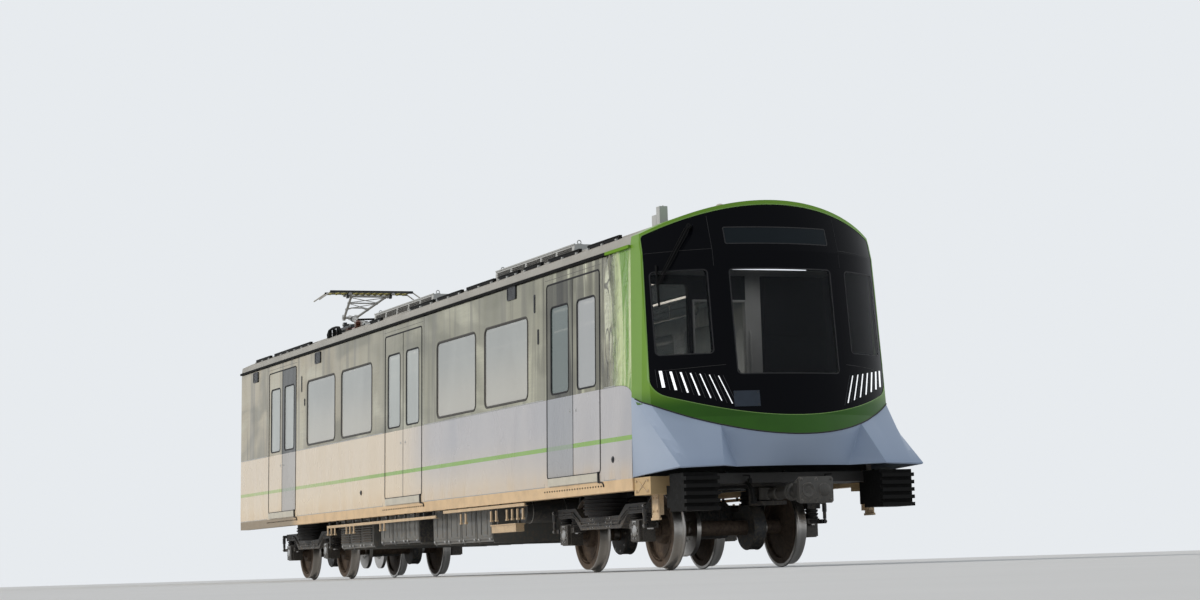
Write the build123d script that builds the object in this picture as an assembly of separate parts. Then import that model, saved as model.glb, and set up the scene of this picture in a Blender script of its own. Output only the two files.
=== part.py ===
from build123d import *
import math
import os

# Metro car with a driver's cab, the leading car of a train. Millimetres.
# +X points to the cab, +Y to the car's left, +Z up.
# The origin is on the ground under the middle of the car, level with the tips of the wheel flanges.
os.makedirs("parts", exist_ok=True)

# Lengths along the car
BODY_REAR_X = -9280.0
BODY_LENGTH = 17450.0
CAB_SIDE_LENGTH = 150.0
CAB_BEVEL_LENGTH = 280.0
NOSE_BULGE = 620.0
COUPLER_REACH = 460.0
DRAWBAR_REACH = 400.0
SEAT_GAP = 0.3

# Side walls: they lean in above the foot of the doors
HALF_WIDTH = 1470.0
WALL_THICKNESS = 80.0
WALL_LEAN = 0.026
SILL_BOTTOM_Z = 878.0
SILL_HEIGHT = 130.0
SILL_WIDTH = 140.0
DOOR_LIFT = 100.0
FLOOR_LIFT = 22.0
FLOOR_THICKNESS = 70.0
FLOOR_SIDE_GAP = 10.0

# Doorways and windows
DOOR_WIDTH = 1680.0
FRONT_BAY = 920.0
REAR_BAY = 1890.0
DOOR_HEIGHT = 2290.0
DOOR_HEADER = 162.0
DOOR_THICKNESS = 45.0
LEAF_GAP = 12.0
LEAF_GLASS_WIDTH = 570.0
LEAF_GLASS_LIFT = 985.0
LEAF_GLASS_HEIGHT = 1030.0
LEAF_GLASS_RADIUS = 60.0
WINDOW_WIDTH = 1570.0
WINDOW_SPACING = 1920.0
WINDOW_LIFT = 992.0
WINDOW_HEIGHT = 1000.0
WINDOW_RADIUS = 90.0
GLASS_THICKNESS = 20.0
GLASS_SETBACK = 8.0
STEP_LENGTH = 1560.0
STEP_DEPTH = 20.0
STEP_HEIGHT = 92.0

# Roof
ROOF_RISE = 405.0
ROOF_EDGE_RISE = 90.0
ROOF_EDGE_INSET = 14.0
ROOF_THICKNESS = 70.0
GUTTER_HEIGHT = 34.0
GUTTER_DEPTH = 28.0

# Cab shell: the face is raked, steeper above the knee, and the chin is cut back
RAKE = 0.119
UPPER_RAKE = 0.33
CHIN_RAKE = 0.6
NOSE_Z = 2070.0
KNEE_DROP = 150.0
BEVEL_INSET = 50.0
SHELL_WALL = 60.0
SHELL_FACE = 90.0
SHELL_SIDE_BOTTOM_Z = 1790.0
SHELL_MIDDLE_BOTTOM_Z = 1410.0
SHELL_CROWN_RISE = 25.0

# Black mask in the cab shell, and its panes
MASK_TOP_INSET = 80.0
MASK_LOW_INSET = 46.0
MASK_TOP_RISE = 60.0
MASK_CROWN_DROP = 25.0
MASK_LOW_Z = 1905.0
MASK_MIDDLE_BOTTOM_Z = 1618.0
MASK_LOW_RADIUS = 230.0
MASK_TOP_RADIUS = 50.0
MASK_SETBACK = 6.0
MASK_THICKNESS = 60.0
PANE_DROP = 350.0
PANE_RADIUS = 40.0
MIDDLE_PANE_HALF_WIDTH = 605.0
MIDDLE_PANE_BOTTOM_Z = 2070.0
PILLAR_WIDTH = 225.0
SIDE_PANE_INSET = 120.0
SIDE_PANE_BOTTOM_Z = 2300.0
DISPLAY_HALF_WIDTH = 612.0
DISPLAY_DROP = 65.0
DISPLAY_HEIGHT = 180.0
DISPLAY_RADIUS = 15.0

# Lamp strips on the mask: (top y, top z, low y, low z), y as the distance in from HALF_WIDTH
STRIP_COUNT = 7
OUTERMOST_STRIP = (146.0, 2131.0, 163.0, 1950.0)
INNERMOST_STRIP = (666.0, 2051.0, 780.0, 1748.0)
WIDEST_STRIP = 36.0
NARROWEST_STRIP = 11.0

# Windscreen wiper, which turns about a spindle on the mask
WIPER_INSET = 542.0
WIPER_LIFT = 274.0
WIPER_SWEEP_INSET = 350.0
WIPER_ARM_TILT = 29.0
WIPER_BLADE_TILT = -4.0
WIPER_ARM_LENGTH = 734.0
WIPER_BLADE_LENGTH = 460.0
WIPER_HUB_RADIUS = 24.0
WIPER_HUB_LOW = 56.0
WIPER_HUB_HIGH = 112.0
WIPER_ARM_RADIUS = 10.0
WIPER_ARM_LIFT = 98.0
WIPER_BLADE_RADIUS = 12.0
WIPER_BLADE_LIFT = 80.0
SPINDLE_RADIUS = 10.0
SPINDLE_ROOT = 30.0
SPINDLE_BOSS_RADIUS = 30.0

# Skirt under the cab: two cheeks that reach forward and a panel cut back between them
SKIRT_LIFT = 10.0
SKIRT_GAP = 6.0
SKIRT_INSET = 4.0
SKIRT_CORNER_REACH = 170.0
SKIRT_CORNER_INSET = 30.0
SKIRT_CORNER_LIFT = 60.0
CHEEK_INNER_REACH = 220.0
CHEEK_INNER_Y = 960.0
CHEEK_BACK_INSET = 220.0
CHEEK_BACK_DROP = 160.0
CHEEK_RIM_POINTS = 5
RECESS_TOP_Y = 834.0
RECESS_LOW_Y = 660.0
RECESS_SETBACK = 90.0
RECESS_BULGE = 100.0
RECESS_LAP = 12.0
RECESS_STRIPS = 8
RECESS_THICKNESS = 50.0

# Underframe
CROSS_MEMBER_DEPTH = 75.0
CROSS_MEMBER_WIDTH = 120.0
CENTRE_SILL_HALF_WIDTH = 150.0
BOLSTER_DEPTH = 130.0
BOLSTER_LENGTH = 560.0
PIVOT_RADIUS = 90.0
PIVOT_LENGTH = 290.0
END_POST_LENGTH = 450.0
END_POST_WIDTH = 270.0
END_POST_HEIGHT = 190.0
END_POST_INSET = 20.0
HEADSTOCK_DEPTH = 150.0
BUFFER_REACH = 110.0
BUFFER_LENGTH = 430.0
BUFFER_INSET = 120.0
BUFFER_HEIGHT = 398.0
BUFFER_RIBS = 5
BUFFER_RIB_DEPTH = 60.0

# Rear end
GANGWAY_WIDTH = 1300.0
GANGWAY_HEIGHT = 2020.0
END_WALL_THICKNESS = 80.0
BELLOWS_LENGTH = 290.0
BELLOWS_WALL = 90.0
BELLOWS_FOLDS = 4

# Interior
BULKHEAD_GAP = 80.0
BULKHEAD_THICKNESS = 60.0
BULKHEAD_DOOR_WIDTH = 660.0
BULKHEAD_DOOR_HEIGHT = 1920.0
CEILING_DROP = 230.0
CEILING_THICKNESS = 40.0
CEILING_FRONT_GAP = 250.0
BENCH_HEIGHT = 430.0
BENCH_DEPTH = 450.0
BENCH_BASE_DEPTH = 315.0
BENCH_CUSHION = 80.0
BENCH_WALL_GAP = 20.0
BENCH_END_GAP = 330.0
BENCH_BACK_HEIGHT = 450.0
BENCH_BACK_THICKNESS = 60.0
POLE_RADIUS = 17.0
POLE_INSET = 610.0
POLE_DOOR_GAP = 260.0
DESK_GAP = 80.0
DESK_LENGTH = 600.0
DESK_HEIGHT = 870.0
DESK_SIDE_INSET = 320.0
DESK_FRONT_SLOPE = (150.0, 100.0)
DESK_REAR_DROP = 120.0
DRIVER_SEAT_GAP = 495.0

# Roof equipment
AC_OFFSETS = (0.0, 910.0)
AC_LENGTH = 2900.0
AC_HALF_WIDTH = 720.0
AC_RISE = 75.0
AC_SLOPE = 60.0

# Running gear
TREAD_RADIUS = 430.0
FLANGE_HEIGHT = 28.0
FLANGE_WIDTH = 32.0
WHEEL_INNER_Y = 680.0
WHEEL_WIDTH = 135.0
RIM_DEPTH = 72.0
AXLE_RADIUS = 85.0
JOURNAL_RADIUS = 65.0
JOURNAL_FIT = 0.05
AXLE_HALF_LENGTH = 1090.0
DISC_RADIUS = 300.0
DISC_THICKNESS = 50.0
DISC_Y = 455.0
FRONT_OVERHANG = 1940.0
REAR_OVERHANG = 2910.0
WHEELBASE = 2200.0
SIDE_BEAM_Y = 1000.0
SIDE_BEAM_WIDTH = 160.0
SIDE_BEAM_DEPTH = 110.0
SIDE_BEAM_LIFT = 192.0
SIDE_BEAM_DROP = 150.0
AIR_SPRING_RADIUS = 250.0
AIR_SPRING_FOOT = 20.0
TRANSOM_RADIUS = 65.0
MOTOR_RADIUS = 210.0
MOTOR_GAP = 5.0
MOTOR_LIFT = 102.0
GEAR_LOW_Y = 250.0
GEAR_HIGH_Y = 400.0
GEAR_REACH = 560.0

# Pantograph
PANTO_OFFSET = 60.0
PANTO_RISE = 155.0
PANTO_ARM_LENGTH = 1150.0
PANTO_REST_ANGLE = 12.0
PANTO_HEAD_HALF_WIDTH = 700.0
PANTO_HEAD_SPACING = 320.0
PIN_RADIUS = 22.0
PIN_FIT = 0.05


# Places that follow from the sizes above
BODY_FRONT_X = BODY_REAR_X + BODY_LENGTH
BEVEL_X = BODY_FRONT_X + CAB_SIDE_LENGTH
MASK_EDGE_X = BEVEL_X + CAB_BEVEL_LENGTH
NOSE_X = MASK_EDGE_X + NOSE_BULGE
MASK_EDGE_Y = HALF_WIDTH - BEVEL_INSET
NOSE_RADIUS = (MASK_EDGE_Y ** 2 + NOSE_BULGE ** 2) / (2 * NOSE_BULGE)
SILL_TOP_Z = SILL_BOTTOM_Z + SILL_HEIGHT
DOOR_BOTTOM_Z = SILL_TOP_Z + DOOR_LIFT
DOOR_TOP_Z = DOOR_BOTTOM_Z + DOOR_HEIGHT
LEAF_GLASS_BOTTOM_Z = DOOR_BOTTOM_Z + LEAF_GLASS_LIFT
WINDOW_BOTTOM_Z = DOOR_BOTTOM_Z + WINDOW_LIFT
CANTRAIL_Z = DOOR_TOP_Z + DOOR_HEADER
ROOF_EDGE_Z = CANTRAIL_Z + ROOF_EDGE_RISE
ROOF_CROWN_Z = CANTRAIL_Z + ROOF_RISE
KNEE_Z = CANTRAIL_Z - KNEE_DROP
FLOOR_TOP_Z = DOOR_BOTTOM_Z + FLOOR_LIFT
FLOOR_BOTTOM_Z = FLOOR_TOP_Z - FLOOR_THICKNESS
CROSS_MEMBER_BOTTOM_Z = FLOOR_BOTTOM_Z - CROSS_MEMBER_DEPTH
BOLSTER_BOTTOM_Z = FLOOR_BOTTOM_Z - BOLSTER_DEPTH
CEILING_Z = CANTRAIL_Z - CEILING_DROP
SKIRT_BOTTOM_Z = SILL_TOP_Z + SKIRT_LIFT
SKIRT_CORNER_Z = SKIRT_BOTTOM_Z + SKIRT_CORNER_LIFT
FRONT_DOOR_X = BODY_FRONT_X - FRONT_BAY - DOOR_WIDTH / 2
REAR_DOOR_X = BODY_REAR_X + REAR_BAY + DOOR_WIDTH / 2
DOOR_CENTRES_X = [FRONT_DOOR_X, (FRONT_DOOR_X + REAR_DOOR_X) / 2, REAR_DOOR_X]
DOOR_BAYS = list(zip(DOOR_CENTRES_X, DOOR_CENTRES_X[1:]))
WINDOW_CENTRES_X = [
    (front_door + rear_door) / 2 + side * WINDOW_SPACING / 2
    for front_door, rear_door in DOOR_BAYS
    for side in (1, -1)
]
BOGIE_CENTRES_X = {"front": BODY_FRONT_X - FRONT_OVERHANG, "rear": BODY_REAR_X + REAR_OVERHANG}
FULL_CUT = HALF_WIDTH + 200.0


def box(x_low, x_high, y_low, y_high, z_low, z_high):
    """A plain block between six coordinates."""
    size = (x_high - x_low, y_high - y_low, z_high - z_low)
    centre = ((x_low + x_high) / 2, (y_low + y_high) / 2, (z_low + z_high) / 2)
    return Pos(*centre) * Box(*size)


def rod(start, end, radius):
    """A round bar between two points."""
    axis = Vector(*end) - Vector(*start)
    return Solid.make_cylinder(radius, axis.length, Plane(origin=start, z_dir=axis))


def cross_rod(x, y_low, y_high, z, radius):
    """A round bar across the car."""
    return rod((x, y_low, z), (x, y_high, z), radius)


def upright_rod(x, y, z_low, z_high, radius):
    return rod((x, y, z_low), (x, y, z_high), radius)


def prism_x(outline, x_low, x_high):
    """An outline of (y, z) points pushed along X."""
    face = Face(Wire.make_polygon([(x_low, y, z) for y, z in outline], close=True))
    return Solid.extrude(face, Vector(x_high - x_low, 0, 0))


def prism_y(outline, y_low, y_high):
    """An outline of (x, z) points pushed along Y."""
    face = Face(Wire.make_polygon([(x, y_low, z) for x, z in outline], close=True))
    return Solid.extrude(face, Vector(0, y_high - y_low, 0))


def rounded_y(x, z_low, width, height, radius, y_low, y_high):
    """A rounded rectangle seen from the side, pushed along Y."""
    plane = Plane(origin=(x, y_low, z_low + height / 2), x_dir=(1, 0, 0), z_dir=(0, 1, 0))
    return extrude(plane * RectangleRounded(width, height, radius), amount=y_high - y_low)


def rounded_x(y, z_low, width, height, radius, x_low, x_high):
    """A rounded rectangle seen from the end, pushed along X."""
    plane = Plane(origin=(x_low, y, z_low + height / 2), x_dir=(0, 1, 0), z_dir=(1, 0, 0))
    return extrude(plane * RectangleRounded(width, height, radius), amount=x_high - x_low)


def polyhedron(faces):
    """A closed solid from flat faces, each a list of corner points."""
    return Solid(Shell([Face(Wire.make_polygon(corners, close=True)) for corners in faces]))


def left(shape):
    """The same shape on the other side of the car."""
    return shape.mirror(Plane.XZ)


def both(shape):
    """A list with a right-hand shape and its left-hand twin."""
    return [shape, left(shape)]


def fuse(shapes):
    """One shape from several that meet."""
    result = shapes[0]
    for shape in shapes[1:]:
        result = result + shape
    return result


def save(name, shapes):
    """One file per sub-part, with one or more solids in it."""
    solids = []
    for shape in shapes:
        solids += list(shape.solids())
    result = solids[0] if len(solids) == 1 else Compound(children=solids)
    export_step(result, f"parts/{name}.step")


def save_pairs(name, shapes):
    """One file with right-hand shapes and their left-hand twins."""
    save(name, [twin for shape in shapes for twin in both(shape)])


def wall_y(z):
    """Half the body's width at a height."""
    return HALF_WIDTH - WALL_LEAN * max(0.0, z - DOOR_BOTTOM_Z)


def wall_slab(x_low, x_high, z_low, z_high, depth_low, depth_high):
    """Part of the right side wall, between two depths behind its outer face."""
    heights = [z_low]
    if z_low < DOOR_BOTTOM_Z < z_high:
        heights.append(DOOR_BOTTOM_Z)
    heights.append(z_high)
    outer = [(-(wall_y(z) - depth_low), z) for z in heights]
    inner = [(-(wall_y(z) - depth_high), z) for z in reversed(heights)]
    return prism_x(outer + inner, x_low, x_high)


# Side walls, glazing and doors

def side_wall():
    wall = wall_slab(BODY_REAR_X, BODY_FRONT_X, SILL_TOP_Z, CANTRAIL_Z, 0, WALL_THICKNESS)
    for x in DOOR_CENTRES_X:
        wall = wall - box(x - DOOR_WIDTH / 2, x + DOOR_WIDTH / 2, -FULL_CUT, 0, DOOR_BOTTOM_Z, DOOR_TOP_Z)
    for x in WINDOW_CENTRES_X:
        wall = wall - rounded_y(x, WINDOW_BOTTOM_Z, WINDOW_WIDTH, WINDOW_HEIGHT, WINDOW_RADIUS, -FULL_CUT, 0)
    return wall


def pane(x, z_low, width, height, radius):
    """A sheet of glass that fills a rounded opening in the side wall or a door leaf."""
    slab = wall_slab(
        x - width, x + width, z_low, z_low + height, GLASS_SETBACK, GLASS_SETBACK + GLASS_THICKNESS
    )
    opening = rounded_y(
        x, z_low + SEAT_GAP, width - 2 * SEAT_GAP, height - 2 * SEAT_GAP, radius - SEAT_GAP, -FULL_CUT, 0
    )
    return slab & opening


def leaf_spans():
    """Each door leaf's low edge, high edge and middle along the car."""
    spans = []
    for x in DOOR_CENTRES_X:
        for side in (-1, 1):
            inner = x + side * LEAF_GAP / 2
            outer = x + side * (DOOR_WIDTH / 2 - SEAT_GAP)
            spans.append((min(inner, outer), max(inner, outer), (inner + outer) / 2))
    return spans


def door_leaf(low, high, middle):
    leaf = wall_slab(low, high, DOOR_BOTTOM_Z + SEAT_GAP, DOOR_TOP_Z - SEAT_GAP, 0, DOOR_THICKNESS)
    return leaf - rounded_y(
        middle, LEAF_GLASS_BOTTOM_Z, LEAF_GLASS_WIDTH, LEAF_GLASS_HEIGHT, LEAF_GLASS_RADIUS, -FULL_CUT, 0
    )


def door_step(x):
    """A tread box under a doorway, fixed to the foot of the wall."""
    return box(
        x - STEP_LENGTH / 2, x + STEP_LENGTH / 2, -HALF_WIDTH - STEP_DEPTH, -HALF_WIDTH,
        DOOR_BOTTOM_Z - STEP_HEIGHT, DOOR_BOTTOM_Z,
    )


save_pairs("side_walls", [side_wall()])
save_pairs("side_windows", [
    pane(x, WINDOW_BOTTOM_Z, WINDOW_WIDTH, WINDOW_HEIGHT, WINDOW_RADIUS) for x in WINDOW_CENTRES_X
])
save_pairs("door_leaves", [door_leaf(*span) for span in leaf_spans()])
save_pairs("door_windows", [
    pane(middle, LEAF_GLASS_BOTTOM_Z, LEAF_GLASS_WIDTH, LEAF_GLASS_HEIGHT, LEAF_GLASS_RADIUS)
    for low, high, middle in leaf_spans()
])
save_pairs("door_steps", [door_step(x) for x in DOOR_CENTRES_X])


# Roof

def roof_section(inset, x):
    """The roof's section in the plane at x, moved in by inset."""
    foot_y = wall_y(CANTRAIL_Z) - inset
    edge_y = foot_y - ROOF_EDGE_INSET
    edge_z = ROOF_EDGE_Z - inset / 2
    foot_left, foot_right = (x, foot_y, CANTRAIL_Z), (x, -foot_y, CANTRAIL_Z)
    edge_left, edge_right = (x, edge_y, edge_z), (x, -edge_y, edge_z)
    return Face(Wire([
        Edge.make_line(foot_left, foot_right),
        Edge.make_line(foot_right, edge_right),
        Edge.make_three_point_arc(edge_right, (x, 0, ROOF_CROWN_Z - inset), edge_left),
        Edge.make_line(edge_left, foot_left),
    ]))


def roof_solid(inset, x_low, x_high):
    return Solid.extrude(roof_section(inset, x_low), Vector(x_high - x_low, 0, 0))


def gutter():
    """The dark rain gutter along the top of the right side wall."""
    low_z = CANTRAIL_Z - GUTTER_HEIGHT
    y = -wall_y(low_z)
    return box(BODY_REAR_X, BODY_FRONT_X, y - GUTTER_DEPTH, y, low_z, CANTRAIL_Z)


full_roof = roof_solid(0, BODY_REAR_X, BODY_FRONT_X)
save("roof_shell", [full_roof - roof_solid(ROOF_THICKNESS, BODY_REAR_X, BODY_FRONT_X)])
save_pairs("roof_gutters", [gutter()])


# Cab shell, mask and panes

CAB_LOW_Z = SKIRT_BOTTOM_Z - 300.0
CAB_HIGH_Z = ROOF_CROWN_Z + 300.0
CAB_REACH = Vector(NOSE_X + 800.0 - BODY_FRONT_X, 0, 0)


def nose_x(y):
    """The cab's plan: one arc across the nose."""
    return NOSE_X - NOSE_RADIUS + math.sqrt(NOSE_RADIUS ** 2 - y ** 2)


def cab_plan(x_shift, z):
    """The plan as a wire: the nose arc and the bevelled sides, spread until they are wide of the body."""
    spread = 2.0
    back_x = MASK_EDGE_X - (1 + spread) * CAB_BEVEL_LENGTH + x_shift
    back_y = HALF_WIDTH + spread * BEVEL_INSET
    edge_x = MASK_EDGE_X + x_shift
    back_left, back_right = (back_x, back_y, z), (back_x, -back_y, z)
    edge_left, edge_right = (edge_x, MASK_EDGE_Y, z), (edge_x, -MASK_EDGE_Y, z)
    return Wire([
        Edge.make_line(back_left, back_right),
        Edge.make_line(back_right, edge_right),
        Edge.make_three_point_arc(edge_right, (NOSE_X + x_shift, 0, z), edge_left),
        Edge.make_line(edge_left, back_left),
    ])


def cab_volume(setback):
    """Everything behind the cab's front face, the face moved back by setback."""
    chin_x = RAKE * (NOSE_Z - MASK_MIDDLE_BOTTOM_Z)
    knee_x = -RAKE * (KNEE_Z - NOSE_Z)
    levels = [
        # shift along X, height
        (chin_x + CHIN_RAKE * (MASK_MIDDLE_BOTTOM_Z - CAB_LOW_Z), CAB_LOW_Z),
        (chin_x, MASK_MIDDLE_BOTTOM_Z),
        (knee_x, KNEE_Z),
        (knee_x - UPPER_RAKE * (CAB_HIGH_Z - KNEE_Z), CAB_HIGH_Z),
    ]
    return Solid.make_loft([cab_plan(x_shift - setback, z) for x_shift, z in levels], True)


def shell_section(inset):
    """The cab shell's section: arched top, leaning sides and a bowed bottom edge."""
    x = BODY_FRONT_X
    low_y = wall_y(SHELL_SIDE_BOTTOM_Z) - inset
    high_y = wall_y(CANTRAIL_Z) - inset
    edge_y = high_y - ROOF_EDGE_INSET
    edge_z = ROOF_EDGE_Z - inset / 2
    low_z = SHELL_SIDE_BOTTOM_Z + inset
    middle_z = SHELL_MIDDLE_BOTTOM_Z + inset
    crown_z = ROOF_CROWN_Z + SHELL_CROWN_RISE - inset
    return Face(Wire([
        Edge.make_three_point_arc((x, low_y, low_z), (x, 0, middle_z), (x, -low_y, low_z)),
        Edge.make_line((x, -low_y, low_z), (x, -high_y, CANTRAIL_Z)),
        Edge.make_line((x, -high_y, CANTRAIL_Z), (x, -edge_y, edge_z)),
        Edge.make_three_point_arc((x, -edge_y, edge_z), (x, 0, crown_z), (x, edge_y, edge_z)),
        Edge.make_line((x, edge_y, edge_z), (x, high_y, CANTRAIL_Z)),
        Edge.make_line((x, high_y, CANTRAIL_Z), (x, low_y, low_z)),
    ]))


def mask_section(grow):
    """The black mask's outline, with rounded corners, grown by a clearance."""
    x = BODY_FRONT_X
    top_y = HALF_WIDTH - MASK_TOP_INSET + grow
    low_y = HALF_WIDTH - MASK_LOW_INSET + grow
    top_z = CANTRAIL_Z + MASK_TOP_RISE + grow
    crown_z = ROOF_CROWN_Z - MASK_CROWN_DROP + grow
    low_z = MASK_LOW_Z - grow
    middle_z = MASK_MIDDLE_BOTTOM_Z - grow
    face = Face(Wire([
        Edge.make_three_point_arc((x, low_y, low_z), (x, 0, middle_z), (x, -low_y, low_z)),
        Edge.make_line((x, -low_y, low_z), (x, -top_y, top_z)),
        Edge.make_three_point_arc((x, -top_y, top_z), (x, 0, crown_z), (x, top_y, top_z)),
        Edge.make_line((x, top_y, top_z), (x, low_y, low_z)),
    ]))
    low_corners = [v for v in face.vertices() if v.Z < NOSE_Z]
    face = face.fillet_2d(MASK_LOW_RADIUS, low_corners)
    high_corners = sorted(face.vertices(), key=lambda v: v.Z)[-2:]
    return face.fillet_2d(MASK_TOP_RADIUS, high_corners)


cab_face = cab_volume(0)
mask_front = cab_volume(MASK_SETBACK)
mask_back = cab_volume(MASK_SETBACK + MASK_THICKNESS)
shell_back = cab_volume(SHELL_FACE)
pane_back = cab_volume(MASK_SETBACK + GLASS_THICKNESS)


def cab_shell():
    """The green hood, open at the back, with a face plate that frames the mask."""
    outer = Solid.extrude(shell_section(0), CAB_REACH)
    hood = (outer - Solid.extrude(shell_section(SHELL_WALL), CAB_REACH)) & shell_back
    frame = (outer - Solid.extrude(mask_section(SEAT_GAP), CAB_REACH)) & cab_face
    return hood + (frame - shell_back)


def pane_bars(shrink):
    """The three windscreen openings as bars along X."""
    inner_y = MIDDLE_PANE_HALF_WIDTH + PILLAR_WIDTH
    outer_y = HALF_WIDTH - SIDE_PANE_INSET
    side_y, side_width = (inner_y + outer_y) / 2, outer_y - inner_y
    top_z = CANTRAIL_Z - PANE_DROP
    bars = []
    for y, width, low_z in (
        # middle y, width, bottom z
        (0.0, 2 * MIDDLE_PANE_HALF_WIDTH, MIDDLE_PANE_BOTTOM_Z),
        (side_y, side_width, SIDE_PANE_BOTTOM_Z),
        (-side_y, side_width, SIDE_PANE_BOTTOM_Z),
    ):
        bars.append(rounded_x(
            y, low_z + shrink, width - 2 * shrink, top_z - low_z - 2 * shrink,
            PANE_RADIUS - shrink, BODY_FRONT_X, BODY_FRONT_X + CAB_REACH.X,
        ))
    return bars


def display_bar(shrink):
    return rounded_x(
        0, CANTRAIL_Z - DISPLAY_DROP + shrink, 2 * (DISPLAY_HALF_WIDTH - shrink),
        DISPLAY_HEIGHT - 2 * shrink, DISPLAY_RADIUS - shrink, BODY_FRONT_X, BODY_FRONT_X + CAB_REACH.X,
    )


def wiper_axis():
    """The wiper's foot on the mask and the direction it turns about, square to the pane that it sweeps."""
    y = -(HALF_WIDTH - WIPER_INSET)
    drop = RAKE * (KNEE_Z - NOSE_Z) + UPPER_RAKE * WIPER_LIFT
    foot = Vector(nose_x(y) - drop - MASK_SETBACK, y, KNEE_Z + WIPER_LIFT)
    sweep_y = -(HALF_WIDTH - WIPER_SWEEP_INSET)
    slope = sweep_y / math.sqrt(NOSE_RADIUS ** 2 - sweep_y ** 2)
    return foot, Vector(1, slope, RAKE).normalized()


def front_mask():
    """The mask with its openings and the wiper's spindle."""
    mask = (Solid.extrude(mask_section(0), CAB_REACH) & mask_front) - mask_back
    for opening in pane_bars(0) + [display_bar(0)]:
        mask = mask - opening
    foot, out = wiper_axis()
    root = foot - out * SPINDLE_ROOT
    boss = rod(root, foot + out * (WIPER_HUB_LOW - SEAT_GAP), SPINDLE_BOSS_RADIUS)
    spindle = rod(root, foot + out * WIPER_HUB_HIGH, SPINDLE_RADIUS)
    return fuse([mask, boss, spindle])


def lamp_strip(share):
    """A slanted lamp strip on the face of the mask, from the outermost at share 0 to the innermost at 1."""
    top_in, top_z, low_in, low_z = [
        outer + share * (inner - outer) for outer, inner in zip(OUTERMOST_STRIP, INNERMOST_STRIP)
    ]
    width = NARROWEST_STRIP + (WIDEST_STRIP - NARROWEST_STRIP) * (1 - share) ** 2
    top_y, low_y = -(HALF_WIDTH - top_in), -(HALF_WIDTH - low_in)
    outline = [
        (top_y + width / 2, top_z), (top_y - width / 2, top_z),
        (low_y - width / 2, low_z), (low_y + width / 2, low_z),
    ]
    bar = prism_x(outline, BODY_FRONT_X, BODY_FRONT_X + CAB_REACH.X)
    return (bar & cab_face) - mask_front


save("cab_shell", [cab_shell()])
save("front_mask", [front_mask()])
save("windscreens", [(bar & mask_front) - pane_back for bar in pane_bars(SEAT_GAP)])
save("destination_display", [(display_bar(SEAT_GAP) & mask_front) - mask_back])
save_pairs("lamp_strips", [lamp_strip(index / (STRIP_COUNT - 1)) for index in range(STRIP_COUNT)])


# Skirt under the cab

def shell_bottom_z(y):
    """Height of the cab shell's bowed bottom edge."""
    half = wall_y(SHELL_SIDE_BOTTOM_Z)
    rise = SHELL_SIDE_BOTTOM_Z - SHELL_MIDDLE_BOTTOM_Z
    radius = (half ** 2 + rise ** 2) / (2 * rise)
    return SHELL_MIDDLE_BOTTOM_Z + radius - math.sqrt(radius ** 2 - y ** 2)


def skirt_top(y):
    """A point on the skirt's top edge, just under the cab shell's chin."""
    z = shell_bottom_z(y)
    rake = RAKE * (NOSE_Z - max(z, MASK_MIDDLE_BOTTOM_Z))
    chin = CHIN_RAKE * max(0.0, MASK_MIDDLE_BOTTOM_Z - z)
    return (nose_x(y) + rake + chin, y, z - SKIRT_GAP)


def cheek():
    """The left cheek: a side facet, a front facet that sweeps forward and down, and a recess facet."""
    side_y = wall_y(SILL_TOP_Z) - SKIRT_INSET
    top_y = side_y - SKIRT_GAP
    top_z = SHELL_SIDE_BOTTOM_Z - 2 * SKIRT_GAP
    top_outer = (BEVEL_X, top_y, top_z)
    rear_top = (BODY_FRONT_X, top_y, top_z)
    rear_low = (BODY_FRONT_X, side_y, SKIRT_BOTTOM_Z)
    corner = (NOSE_X + SKIRT_CORNER_REACH, HALF_WIDTH - SKIRT_CORNER_INSET, SKIRT_CORNER_Z)
    inner = (NOSE_X + CHEEK_INNER_REACH, CHEEK_INNER_Y, SKIRT_CORNER_Z + SKIRT_LIFT)
    recess_low = (NOSE_X - RECESS_SETBACK, RECESS_LOW_Y, SKIRT_CORNER_Z)
    back_y = HALF_WIDTH - CHEEK_BACK_INSET
    back_top = (BODY_FRONT_X, back_y, SHELL_SIDE_BOTTOM_Z - CHEEK_BACK_DROP)
    back_low = (BODY_FRONT_X, back_y, SKIRT_BOTTOM_Z)

    rim_y = MASK_EDGE_Y - 20.0
    rim_step = (rim_y - RECESS_TOP_Y) / (CHEEK_RIM_POINTS - 1)
    rim = [top_outer] + [skirt_top(rim_y - index * rim_step) for index in range(CHEEK_RIM_POINTS)]
    recess_top = rim[-1]
    faces = [
        [rear_top, rear_low, corner],
        [rear_top, corner, top_outer],
        [corner, recess_top, inner],
        [recess_top, recess_low, inner],
        [rear_low, inner, corner],
        [rear_low, recess_low, inner],
        [rear_low, back_low, recess_low],
        [rear_top, back_top, back_low, rear_low],
        [rear_top, top_outer, back_top],
        [back_top, recess_top, recess_low],
        [back_top, recess_low, back_low],
    ]
    for first, second in zip(rim, rim[1:]):
        faces.append([first, second, corner])
        faces.append([first, back_top, second])
    return polyhedron(faces)


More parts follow.
